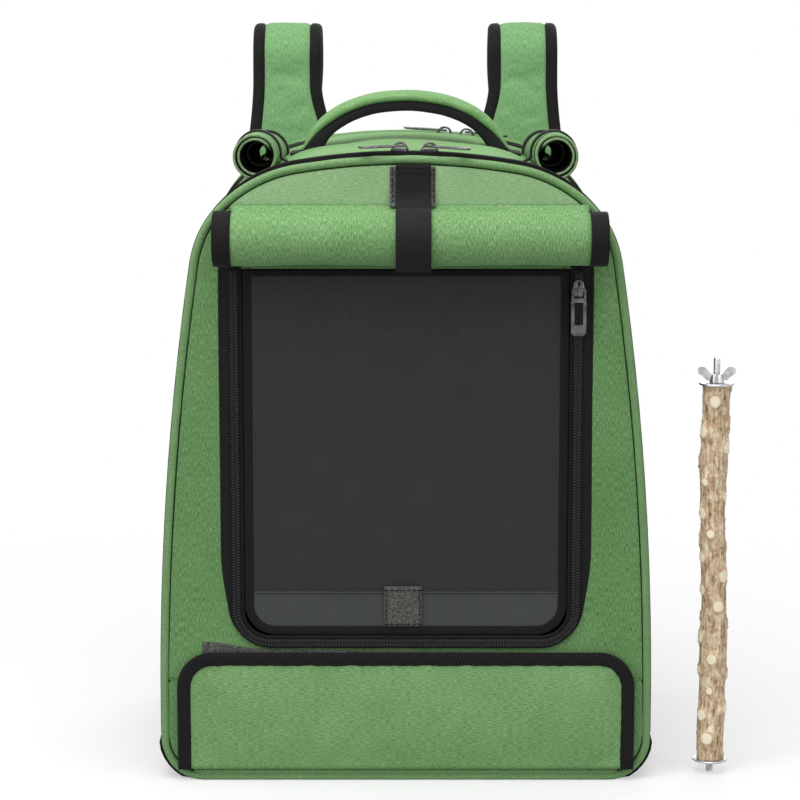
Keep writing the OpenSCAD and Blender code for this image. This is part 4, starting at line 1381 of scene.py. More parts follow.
@dataclass(frozen=True)
class Shell:
    """Base, gussets, back and the windows in the sides."""

    side_low: float = 112.0
    side_high: float = 366.0
    side_half: float = 80.0
    bulge: float = 1.6

    def columns(self, low: float, high: float, step: float, marks: Sequence[float] = ()) -> Points:
        """Even steps between two values that also stop at some marks."""
        stops = sorted({low, high, *marks})
        runs = [np.linspace(a, b, max(2, int(round((b - a) / step)) + 1))
                for a, b in zip(stops[:-1], stops[1:])]
        return np.concatenate([runs[0], *[r[1:] for r in runs[1:]]])

    def base(self) -> None:
        """The base section with its black bottom corners, and the boards in the bag."""
        plane = BAG.foot(5.0, GUSSET_IN, BASE_Z)
        ys = self.columns(RING_FRONT, RING_BACK, 9.0)
        z = plane[:, 1:]
        corner = smooth((44 - z) / 20) * smooth((np.abs(plane[:, :1]) - 132) / 14)
        across = np.sin(math.pi * (ys - RING_FRONT) / (RING_BACK - RING_FRONT))
        lift = 0.4 * ripple(ys + 0 * z, z * 2, 60, 21) + 6.6 * corner
        grid = wall_sheet(plane, ys, lift + across * smooth((z - 10) / 25))
        grid[..., 2] = np.maximum(grid[..., 2], 0.2)
        obj = grid_piece("base_cloth", grid, [HEATHER_ACROSS, BASE_CLOTH, LINING, LINING],
                         picks=z[:-1] < 33)
        thicken(obj, WALL, lining=2)
        seat(obj, Body.CARRIER, Slot.HEATHER, "base_section")
        lip = line((-151, HINGE_Z - 3.2), (151, HINGE_Z - 3.2), 6.0)
        trim("base_front_lip", lip, FRONT_Y + 1.4, (6.8, 3.4), HEATHER_ACROSS, Body.CARRIER,
             Slot.HEATHER)
        for node in ("base_board", "back_board"):
            crisp_copy(node, 0.6, BOARD, Body.CARRIER, Slot.BOARD)

    def side_plane(self, inset: float, low: float, high: float, step: float,
                   marks: Sequence[float] = ()) -> Points:
        """The right side of the outline between two levels, from low to high."""
        z = self.columns(low, high, step, marks)
        return spread(BAG.half_width(z, inset), z)

    def gussets(self) -> None:
        """The side gussets with their window openings, and the top gusset."""
        finishes = [HEATHER_ACROSS, LINING, TWILL]
        ys = self.columns(-GUSSET_Y, GUSSET_Y, 6.0, (-self.side_half, self.side_half))
        plane = self.side_plane(GUSSET_IN, BASE_Z, SPLIT_Z, 3.5, (self.side_low, self.side_high))
        z = (plane[:-1, 1:] + plane[1:, 1:]) / 2
        y = (ys[:-1] + ys[1:]) / 2
        keep = ~((np.abs(y) < self.side_half) & (z > self.side_low) & (z < self.side_high))
        edge = smooth((GUSSET_Y - np.abs(ys)) / 30)
        for side, name in SIDES:
            waves = ripple(ys + 0 * plane[:, :1], plane[:, 1:], 70, 30 + side)
            grid = wall_sheet(plane, ys, edge * (0.5 * waves + 0.4))
            grid[..., 0] *= side
            obj = grid_piece(f"gusset_{name}_cloth", grid, finishes, keep=keep)
            thicken(obj, WALL, lining=1, rim=2)
            seat(obj, Body.CARRIER, Slot.HEATHER, f"gusset_{name}")
        top = BAG.arch(3.5, GUSSET_IN, SPLIT_Z)
        x, y = top[:, :1], np.abs(ys)
        crease = np.exp(-((ys + 58 + 5 * np.sin(x / 60)) / 5) ** 2)
        lift = edge * (self.bulge + 0.5 * ripple(ys + 0 * x, x, 75, 35)) - 1.3 * crease
        x = np.abs(x)
        lift = lift - 4.4 * smooth((101 - y) / 14) * np.exp(-((x - 98) / 17) ** 2)
        obj = grid_piece("gusset_top_cloth", wall_sheet(top, ys, lift), finishes)
        row = np.arange(len(top))[:, None]
        rim = (row < 2) | (row > len(top) - 3) | (y > GUSSET_Y - 3)
        under_tabs = (y < 20) & (x > 44) & (x < 92)
        under_rolls = (x > 84) & (y < 100)
        fill_out(obj, rim | under_tabs | under_rolls, 5.0, 3.4)
        thicken(obj, WALL, lining=1, rim=2)
        seat(obj, Body.CARRIER, Slot.HEATHER, "gusset_top")

    def side_windows(self) -> None:
        """The mesh and the binding of both side windows."""
        wide, low, high = self.side_half + 6, self.side_low - 6, self.side_high + 6
        ys = self.columns(-wide, wide, 6.0)
        plane = self.side_plane(GUSSET_IN + 1.2, low, high, 6.0)
        z = plane[:, 1:]
        sag = np.cos(math.pi * ys / 2 / wide) * np.sin(math.pi * (z - low) / (high - low))
        ring = self.frame_path(8.0, 2.5)
        place = side_on(ring, BAG.half_width(ring[:, 1], GUSSET_IN - 0.7))
        slope = (BAG.half_width(ring[:, 1] + 1) - BAG.half_width(ring[:, 1] - 1)) / 2
        frames = []
        for side, name in SIDES:
            waves = ripple(ys + 0 * z, z, 40, 40 + side)
            grid = wall_sheet(plane, ys, 0.25 * waves - 2.2 * sag)
            grid[..., 0] *= side
            obj = grid_piece(f"side_mesh_{name}_net", grid, [WINDOW_MESH])
            thicken(obj, 0.6)
            seat(obj, Body.CARRIER, Slot.MESH, f"side_mesh_{name}")
            frames.append(swept(f"side_window_binding_{name}", place, side_on(right_of(ring, True)),
                                spread(1, 0, -slope), flat_section(10.0, 1.8, 3, 5), TWILL, side,
                                closed=True))
        for piece in frames:
            seat(piece, Body.CARRIER, Slot.BINDING, "side_window_bindings")

    def frame_path(self, radius: float, step: float) -> Points:
        """The middle of a side window's binding, as y and z."""
        y, low, high = self.side_half + 5, self.side_low - 5, self.side_high + 5
        corners = [arc((sy * (y - radius), z + sz * radius), radius, start, start + 90, 6)
                   for sy, z, sz, start in ((-1, low, 1, 180), (1, low, 1, 270), (1, high, -1, 0),
                                            (-1, high, -1, 90))]
        return spaced(np.vstack(corners), step, closed=True)

    def back(self) -> None:
        """The back panel and the yoke that the straps are sewn under."""
        z = np.concatenate([[0.5, 2, 5, 9, 14, 20], np.linspace(27, 438, 74), [442, 445.5, 447.4]])
        z, u = z[:, None], np.sin(np.linspace(-math.pi / 2, math.pi / 2, 41))
        half = BAG.half_width(z, 0.6)
        rim = np.minimum(half * (1 - np.abs(u)), np.minimum(z, BAG.height - z))
        x = half * u
        y = BACK_Y + 0.4 * ripple(x, z, 90, 51) * smooth(rim / 20) - 1.2 * (1 - smooth(rim / 7))
        obj = grid_piece("back_panel_cloth", spread(x, y, z), [HEATHER_UP, LINING], flat_uv=True)
        thicken(obj, WALL, lining=1)
        seat(obj, Body.CARRIER, Slot.HEATHER, "back_panel")
        z = np.linspace(404, 440.5, 18)[:, None]
        x = np.minimum(BAG.half_width(z, 7.0), 150) * np.linspace(-1, 1, 40)
        y = BACK_Y + 1.5 + 0.25 * ripple(x, z, 30, 52)
        obj = grid_piece("yoke_cloth", spread(x, y, z), [TWILL], flat_uv=True)
        thicken(obj, 1.5)
        seat(obj, Body.CARRIER, Slot.BINDING, "strap_yoke")

    def build(self) -> None:
        """Makes all of the shell."""
        self.base()
        self.gussets()
        self.side_windows()
        self.back()


@dataclass(frozen=True)
class BackPad:
    """The ribbed air-mesh pad that lies against the wearer's back."""

    width: float = 180.0
    low: float = 60.0
    high: float = 392.0
    rib: float = 9.0
    seam: float = 2.0
    ribs: int = 3
    corner: float = 18.0

    def build(self) -> None:
        """Makes the pad with its flat back against the panel."""
        share = (1 - np.cos(np.linspace(0, math.pi, 90)))[:, None] / 2
        z = self.low + (self.high - self.low) * share
        end = np.minimum(z - self.low, self.high - z)
        near = np.clip(end, 0, self.corner)
        half = self.width / 2 - self.corner + np.sqrt(
            np.maximum(0, self.corner ** 2 - (self.corner - near) ** 2))
        u = np.linspace(0, 1, 73)
        f = np.modf(np.minimum(u, 0.99999) * self.ribs)[0]
        crown = np.sqrt(np.maximum(0, 4 * f * (1 - f))) * smooth(end / 26)
        x = half * (2 * u - 1)
        height = self.seam + (self.rib - self.seam) * crown * (1 + 0.05 * ripple(x, z, 42, 61))
        obj = grid_piece("back_pad_foam", backed(spread(x, BACK_Y + height, z), BACK_Y + 0.4),
                         [SPACER], ring=True, caps=True)
        seat(obj, Body.CARRIER, Slot.AIR_MESH, "back_pad")


# ---------------------------------------------------------------- zips


COIL_W, COIL_GAP = 6.0, 0.5
ROW_AT = (COIL_W + COIL_GAP) / 4
TAPE_IN = 3.6
TAPE_DEPTH = 15.0
TAPE_FACE = -120.8
ZIP_Y = 109.0
TOOTH_PITCH = 2.0


class Zips:
    """All the zips: woven tapes, nylon coils tooth by tooth, cast sliders and pulls."""

    def __init__(self, rows: RowOfCopies, shapes: SmallShapes) -> None:
        """Makes the coil's two teeth.

        Args:
            rows: the tree that sets the teeth.
            shapes: where small meshes are made.
        """
        self.rows = rows
        self.teeth = [shapes.tube(f"coil_tooth_{k}", [
            (0.25 * s, -1.45, -0.2), (0.15 * s, -1.3, 1.0), (0, -0.2, 1.45), (-0.15 * s, 1.15, 1.0),
            (-0.25 * s, 1.4, -0.2)], [0.55, 0.6, 0.62, 0.6, 0.5]) for k, s in ((0, 1), (1, -1))]

    def coil(self, name: str, lines: Sequence[tuple], body: Body) -> None:
        """One zip's coil, as two rows of teeth.

        Args:
            name: the zip's name.
            lines: for each row its path in space and its up directions.
            body: the body that the coil rides on.
        """
        for k, (path, tooth) in enumerate(zip(lines, self.teeth)):
            row = self.rows.run(f"{name}_coil_row_{k + 1}", [path], tooth, TOOTH_PITCH, NYLON)
            seat(row, body, Slot.COIL, f"{name}_coil")

    def arch_zip(self, name: str, y: float) -> None:
        """A zip round the arch of the bag, with its middle at a depth."""
        plane = BAG.arch(2.5, TAPE_IN, BASE_Z)
        ys = y + np.linspace(-TAPE_DEPTH / 2, TAPE_DEPTH / 2, 9)
        wavy = 0.12 * ripple(np.arange(len(plane))[:, None] * 2.5, ys, 30, 71)
        obj = grid_piece(f"{name}_tape", wall_sheet(plane, ys, wavy), [ARCH_TAPE])
        thicken(obj, 1.4)
        seat(obj, Body.CARRIER, Slot.TAPE, f"{name}_tape")
        lines = []
        for k, s in enumerate((-1, 1)):
            row = BAG.arch(1.6, TAPE_IN - 0.4, BASE_Z + k)
            lines.append((at_depth(row, y + s * ROW_AT), at_depth(outward(row))))
        self.coil(name, lines, Body.CARRIER)
        trim(f"{name}_core", BAG.arch(2.5, TAPE_IN - 0.5, BASE_Z), y, (1.1, 5.2, 2, 3), NYLON,
             Body.CARRIER, Slot.COIL)

    def window_zip(self) -> None:
        """The zip round three sides of the window door."""
        plane = WINDOW.u_path(2.0, 2.75, top=372)
        low = smooth((WINDOW.low + 66 - plane[:, 1]) / 66)[:, None]
        section = np.repeat(flat_section(16.5, 0.9, 2, 14)[None], len(plane), 0)
        section[..., 0] -= 7.4 * low * np.maximum(section[..., 0], 0) / 8.25
        tape = plane_sweep("window_zip_tape_cloth", plane, TAPE_FACE + 0.45, section, TAPE)
        seat(tape, Body.COVER, Slot.TAPE, "window_zip_tape")
        lines = [(at_depth(WINDOW.u_path(1.6, s * ROW_AT, top=364.5 - k), TAPE_FACE - 0.4),
                  FRONTWARDS) for k, s in enumerate((-1, 1))]
        self.coil("window_zip", lines, Body.COVER)
        trim("window_zip_core", WINDOW.u_path(2.5, 0.0, top=365), TAPE_FACE - 0.5, (5.2, 1.1, 2, 3),
             NYLON, Body.COVER, Slot.COIL)

    def build(self) -> None:
        """Makes every zip with its sliders and pulls."""
        self.arch_zip("main_zip", -ZIP_Y)
        self.arch_zip("back_zip", ZIP_Y)
        self.window_zip()
        cast = ["window_slider", "window_pull"]
        cast += [f"{zip_name}_{part}_{side}" for zip_name in ("main", "back")
                 for part in ("slider", "pull") for side in ("left", "right")]
        for node in cast:
            crisp_copy(node, 0.28, GUNMETAL, node, Slot.METAL)


# ---------------------------------------------------------------- rolled covers


def spiral_path(radius: float, core: float, turns: float, start: float, step: float) -> Points:
    """A loose spiral from its outer turn to its core.

    Args:
        radius: middle radius of the outer turn.
        core: middle radius of the innermost turn.
        turns: how many turns it makes.
        start: heading of the outer end, in degrees.
        step: distance between the points.

    Returns:
        Points about the roll's axis.
    """
    t = np.linspace(0, 1, int(turns * 90))
    r = radius - (radius - core) * t ** 0.92
    a = np.radians(start + turns * 360 * t)
    return spaced(spread(r * np.cos(a), r * np.sin(a)), step)


@dataclass(frozen=True)
class FrontRoll:
    """The front cover, rolled up over the window and held by a strap."""

    radius: float = 18.6
    core: float = 7.6
    turns: float = 2.6
    cover: float = 2.4
    centre: tuple = (-140.3, 387.5)
    half: float = 134.0
    middle: float = 3.0
    binding: float = 12.0
    tail_at: float = 62.0
    seam: tuple = (-120.9, 409.5)
    strap_x: float = 5.0

    def path(self) -> Points:
        """The rolled cloth seen from the side, from the seam on the panel to the core."""
        roll = spiral_path(self.radius, self.core, self.turns, self.tail_at, 2.2) + self.centre
        tail = rounded_path([self.seam, (self.seam[0] - 2.2, self.seam[1] - 1.2), roll[0]], 2.2)
        return np.vstack([tail[:-1], roll])

    def cloth(self, name: str, xs: Points, thickness: float, finishes: Sequence[Finish],
              grow: float = 0.0, skip: int = 0) -> Object:
        """A width of the rolled cloth.

        Args:
            name: the piece's name.
            xs: levels of x for its columns.
            thickness: thickness of the cloth.
            finishes: outer face, inner face and cut edge.
            grow: how much further out it lies than the cloth's middle.
            skip: how many steps of the cloth are left out next to the seam.

        Returns:
            The piece.
        """
        path = self.path()
        out = unit(path - self.centre)
        x, s = np.broadcast_arrays(xs, lengths(path)[:, None])
        loose = smooth((s - 8) / 20)
        lift = grow + loose * (0.55 * ripple(x, s, 120, 81) + 0.3 * ripple(x, s * 0.3, 34, 82))
        edge = 0.9 * np.sin(s / 31.0) * smooth((np.abs(x) - 90) / 49) * np.sign(x) * loose
        grid = spread(x + edge + self.middle, path[:, :1] + out[:, :1] * lift,
                      path[:, 1:] + out[:, 1:] * lift)
        obj = grid_piece(name, grid[skip:], finishes, centre=(0, *self.centre))
        thicken(obj, thickness, inward=False, lining=1, rim=2)
        return obj

    def build(self) -> None:
        """Makes the roll, its bound ends, and the webbing that holds it."""
        inner = self.half - self.binding
        obj = self.cloth("front_roll_cloth", np.linspace(-inner - 1, inner + 1, 44), self.cover,
                         [HEATHER_ROLL, LINING, LINING])
        seat(obj, Body.COVER, Slot.HEATHER, "front_roll")
        for side, name in SIDES:
            edge = self.cloth(f"front_roll_binding_{name}",
                              np.sort(side * np.linspace(inner, self.half, 6)), self.cover + 0.9,
                              [TWILL, TWILL, TWILL], 0.15, 4)
            seat(edge, Body.COVER, Slot.BINDING, "front_roll_bindings")
        around = arc(self.centre, self.radius + 2.7, 66, 254, 40)
        start = [(FRONT_Y - 2.5, 438.0), (FRONT_Y - 2.7, 426.0), (-124.6, 415.6), around[0]]
        strap = spaced(np.vstack([rounded_path(start, 1.5)[:-1], around]), 1.5)
        obj = ribbon("front_roll_webbing", strap, self.strap_x, flat_section(24.5, 1.5, 3, 10),
                     RIBBED)
        seat(obj, Body.COVER, Slot.WEBBING, "front_roll_strap")
        patch = rounded_path([(FRONT_Y - 1.1, 436.5), (FRONT_Y - 1.2, 424), (-122.8, 414),
                              (-127.5, 409.6)], 1.5)
        obj = ribbon("roll_strap_patch", patch, self.strap_x - 0.5, flat_section(31.5, 1.3, 3, 10),
                     PILE)
        seat(obj, Body.COVER, Slot.HOOKS, "strap_patch")


@dataclass(frozen=True)
class SideRolls:
    """The two side covers, rolled up on the shoulders, each held by two loops of webbing."""

    radius: float = 15.8
    core: float = 10.6
    turns: float = 1.8
    heart: float = 4.6
    cover: float = 1.7
    tucked: float = 44.0
    centre: tuple = (104.7, 442.2)
    half: float = 92.0
    seam_at: float = -116.0
    strap_y: float = 62.0
    strap_width: float = 12.5
    fall: float = 7.5

    def droop(self, y: Number) -> Number:
        """How far the roll hangs down towards the back, where nothing is under it."""
        return self.fall * smooth((y + 70) / 150)

    def path(self) -> Points:
        """The rolled cloth seen from the front: from the seam on the gusset in to the core."""
        start = self.seam_at + 40
        roll = spiral_path(self.radius, self.core, self.turns, start, 2.0)
        inside = spiral_path(self.core, self.heart, 1.1, start + 360 * self.turns, 2.0)
        roll = np.vstack([roll[:-1], inside]) + self.centre
        foot, knee = (arc(self.centre, self.radius + grow, at, at, 0)[0]
                      for grow, at in ((0.9, self.seam_at - 14), (0.5, self.seam_at + 14)))
        return np.vstack([rounded_path([foot, knee, roll[0]], 2.0)[:-1], roll])

    def build(self) -> None:
        """Makes both rolls with their loops."""
        path = self.path()
        at, out = lengths(path)[:, None], unit(path - self.centre)
        far = np.linalg.norm(path - self.centre, axis=1)[:, None]
        outside = math.pi * self.turns * (self.radius + self.core)
        y, s = np.broadcast_arrays(np.linspace(-self.half, self.half, 40), at)
        pinch = 1 - 0.1 * sum(np.exp(-((y - m) / 10) ** 2) for m in (-self.strap_y, self.strap_y))
        tuck = smooth((s - outside) / 12) * self.tucked * (self.half - y) / (2 * self.half)
        for side, name in SIDES:
            waves = 0.6 * ripple(y, s, 95, 90 + side) + 0.25 * ripple(y, s, 30, 95 + side)
            reach = (far + waves * smooth(s / 14)) * np.where(s > 12, pinch, 1)
            slip = 1.1 * np.sin(s / 17.0 + side) * np.sign(y) * smooth((np.abs(y) - 60) / 32)
            grid = spread(side * (self.centre[0] + out[:, :1] * reach), y + slip + tuck,
                          self.centre[1] + out[:, 1:] * reach - self.droop(y))
            obj = grid_piece(f"side_roll_{name}_cloth", grid, [HEATHER_ACROSS, LINING, CUT_EDGE],
                             centre=(side * self.centre[0], 0, self.centre[1]))
            thicken(obj, self.cover, inward=False, lining=1, rim=2)
            seat(obj, Body.CARRIER, Slot.HEATHER, f"side_roll_{name}")
            self.loops(side, name)

    def loops(self, side: int, name: str) -> None:
        """The two webbing loops of one roll."""
        ring = arc(self.centre, self.radius + 0.2, -40, 190, 44)
        path = spaced(np.vstack([ring, ring[-1:] + [-5.0, -3.2]]), 1.6)
        for y, label in ((-self.strap_y, "front"), (self.strap_y, "back")):
            obj = swept(f"side_roll_loop_{name}_{label}", at_depth(path, y) - [0, 0, self.droop(y)],
                        BACKWARDS, at_depth(right_of(path)), flat_section(self.strap_width, 1.4, 3, 6),
                        RIBBED, side)
            seat(obj, Body.CARRIER, Slot.WEBBING, "side_roll_straps")


# ---------------------------------------------------------------- door and flap


@dataclass(frozen=True)
class WindowDoor:
    """The mesh door with its bound edge, its hem and the patch that holds it shut."""

    edge: float = 5.8
    border: float = 6.5
    top: float = 365.7
    face: float = -120.4
    hem: float = 24.0
    corner: float = 15.0
    sewn: float = 2.5

    def edge_path(self, step: float, inset: float) -> Points:
        """A path round three sides of the door, at a distance inside its edge."""
        return WindowOutline(WINDOW.half_width - self.edge, WINDOW.low + self.edge, self.top,
                             22.0).u_path(step, -inset)

    def build(self) -> None:
        """Makes the door."""
        low, r = WINDOW.low + self.edge, self.corner
        half = WINDOW.half_width - self.edge - self.sewn
        z = np.linspace(low + 3, self.top - 1, 66)[:, None]
        drop = np.clip(r - (z - z[0]), 0, r)
        inset = r - np.sqrt(np.maximum(0, r ** 2 - drop ** 2))
        x = np.linspace(-half, half, 60) * (1 - inset / half)
        depth = np.minimum(half - np.abs(x), np.minimum(z - low, self.top - z))
        y = FRONT_Y + 0.25 + smooth(depth / 30) * (0.9 * ripple(x, z, 120, 101) + 0.6)
        obj = grid_piece("window_mesh_net", spread(x, y, z), [WINDOW_MESH, HEM_MESH, WINDOW_MESH],
                         flat_uv=True, picks=z[:-1] < low + self.border + self.hem)
        thicken(obj, 0.6)
        seat(obj, Body.DOOR, Slot.MESH, "window_mesh")
        half += self.sewn
        trim("window_binding", self.edge_path(2.5, self.border / 2), self.face + 0.8,
             (self.border, 1.9, 3, 4), TWILL, Body.DOOR, Slot.BINDING, "window_border")
        trim("window_head_binding", line((1 - half, self.top - 2.6), (half - 1, self.top - 2.6)),
             self.face + 0.8, (5.0, 1.6, 3, 3), TWILL, Body.DOOR, Slot.BINDING)
        level = low + self.border + self.hem
        trim("window_hem_fold", line((5 - half, level), (half - 5, level)), FRONT_Y + 0.5,
             (1.5, 1.7, 3, 2), HEM_MESH, Body.DOOR, Slot.MESH)
        level = low + self.border + 0.6 + 27.0 / 2
        trim("window_loop_patch", line((-2, level + 14.5), (-2, level - 14.2), 3.0),
             self.face - 0.2, (26.5, 1.3, 3, 10), PILE, Body.DOOR, Slot.HOOKS, "window_patch")


@dataclass(frozen=True)
class TrayFlap:
    """The padded flap over the tray slot, with its binding and the strip that it closes on."""

    width: float = 324.0
    low: float = 9.0
    top: float = 93.6
    corner: float = 25.0
    binding: float = 10.0
    back: float = -121.7
    front: float = -124.7
    crown: float = 2.4

    def path(self, inset: float, step: float) -> Points:
        """The flap's outline from its lower left corner over the top to its lower right."""
        x, top, r = self.width / 2 - inset, self.top - inset, self.corner - inset
        left = arc((-x + r, top - r), r, 180, 90, 16)
        right = arc((x - r, top - r), r, 90, 0, 16)
        return spaced(np.vstack([[[-x, self.low]], left, right, [[x, self.low]]]), step)

    def half_at(self, z: Points, play: float) -> Points:
        """Half the flap's width at a level."""
        r = self.corner - play
        fall = np.clip(z - (self.top - self.corner), 0, r)
        return self.width / 2 - self.corner + np.sqrt(np.maximum(0, r ** 2 - fall ** 2))

    def build(self) -> None:
        """Makes the flap, its binding and the strip above it."""
        rise = np.sin(np.linspace(0, math.pi / 2, 40))[:, None]
        z = self.low + (self.top - 1.3 - self.low) * rise
        half = self.half_at(z, 1.3)
        x = half * np.sin(np.linspace(-1.35, 1.35, 90)) / math.sin(1.35)
        inner = np.minimum(half - np.abs(x), self.top - z) - self.binding + 1.5
        swell = smooth(inner / 26) * smooth((z - self.low) / 22)
        waves = 0.45 * ripple(x, z * 1.6, 78, 111) + 0.25 * ripple(x, z * 2.5, 26, 112)
        y = self.front - swell * (self.crown + waves)
        grid = backed(spread(x, y, z), self.back)
        rows, cols = grid.shape[:2]
        obj = grid_piece("tray_flap_cloth", grid, [HEATHER_ACROSS, TWILL], ring=True, caps=True,
                         flat_uv=True, picks=np.arange(cols) >= cols // 2)
        free = np.zeros((rows, cols), bool)
        free[2:-4, 6:cols // 2 - 6] = True
        free &= np.repeat(inner > -1, 2, 1)
        fill_out(obj, ~free.ravel(), 6.0, 3.0)
        seat(obj, Body.FLAP, Slot.HEATHER, "tray_flap")
        trim("tray_flap_edge", self.path(self.binding / 2 - 0.2, 2.5),
             (self.front + self.back) / 2 - 0.5, (self.binding, 4.6, 5, 4), TWILL, Body.FLAP,
             Slot.BINDING, "tray_flap_binding")
        trim("flap_hook_tape", line((-132, self.top - 15), (132, self.top - 15)), self.back + 0.1,
             (11.0, 0.7, 2, 6), PILE, Body.FLAP, Slot.HOOKS)
        strip = line((-144.0, 90.9), (144.0, 86.2))
        strip[:, 1] += 4.2 * smooth((-104 - strip[:, 0]) / 36) + 0.3 * np.sin(strip[:, 0] / 37)
        trim("flap_loop_tape", strip, FRONT_Y - 0.75, (11.4, 1.5, 3, 6), PILE, Body.COVER,
             Slot.HOOKS, "flap_loop_strip")


# ---------------------------------------------------------------- handle and straps


@dataclass(frozen=True)
class Handle:
    """The padded handle over the top gusset, on wide webbing that is sewn to tabs."""

    radius: float = 81.25
    centre_z: float = 402.75
    half_angle: float = 62.0
    depth: float = 34.0
    pad: float = 6.0
    drop: float = 3.6
    square: float = 0.9
    steps: int = 72
    sides: int = 40

    def band(self, name: str, radius: Number, width: Points, thick: Points, finish: Finish,
             power: float) -> Object:
        """A soft band along the handle's arch.

        Args:
            name: the piece's name.
            radius: radius of the band's middle.
            width: the band's width at each step along the arch.
            thick: its thickness at each step.
            finish: its finish.
            power: how square its section is.

        Returns:
            The piece.
        """
        a = np.radians(np.linspace(90 + self.half_angle, 90 - self.half_angle, self.steps))
        wide = np.sign(np.cos(a)) * np.abs(np.cos(a)) ** self.square
        path = spread(1.05 * radius * wide,
                      self.centre_z + (radius - self.drop) * np.sin(a) ** self.square)
        t = np.linspace(0, 2 * math.pi, self.sides + 1)[:-1]
        round_loop = spread(np.cos(t), np.sin(t))
        shape = np.sign(round_loop) * np.abs(round_loop) ** (2 / power)
        wave = 1 + 0.05 * ripple(np.degrees(a)[:, None] * 1.4, t * 12, 26, 121)
        section = shape * spread(width, thick)[:, None] / 2 * wave[..., None]
        return swept(name, at_depth(path), BACKWARDS, spread(np.cos(a), 0, np.sin(a)), section,
                     finish)

    def build(self) -> None:
        """Makes the padding, the webbing under it and the tabs."""
        share = np.abs(np.linspace(-1, 1, self.steps))
        foot = smooth((share - 0.62) / 0.38)
        web = self.band("handle_underside_webbing", self.radius - self.pad - 1.2,
                        32.5 + 2 * foot, 7.6 + 5.4 * foot, RIBBED, 6.0)
        seat(web, Body.CARRIER, Slot.WEBBING, "handle_webbing")
        pad = self.band("handle_pad_cloth", self.radius - self.pad / 2 + 2.2 - 0.9 * foot,
                        self.depth + 1 - 4 * foot, self.pad + 1.2 - 4.2 * foot, HEATHER_ACROSS, 3.2)
        row, col = np.indices((self.steps, self.sides))
        fill_out(pad, (row < 5) | (row > self.steps - 6) | (col > 18), 4.0, 1.2)
        seat(pad, Body.CARRIER, Slot.HEATHER, "handle_padding")
        centre, radius = BAG.centres()["crown"][:2]
        start, end = (math.degrees(math.acos(x / (radius - 2.2))) for x in (49.0, 84.0))
        path = arc(centre, radius - 2.2, start, end, 16)
        for side, name in SIDES:
            obj = swept(f"handle_tab_{name}", at_depth(path), BACKWARDS,
                        at_depth(unit(path - centre)), flat_section(self.depth, 1.8, 3, 8), RIBBED,
                        side)
            seat(obj, Body.CARRIER, Slot.WEBBING, "handle_tabs")


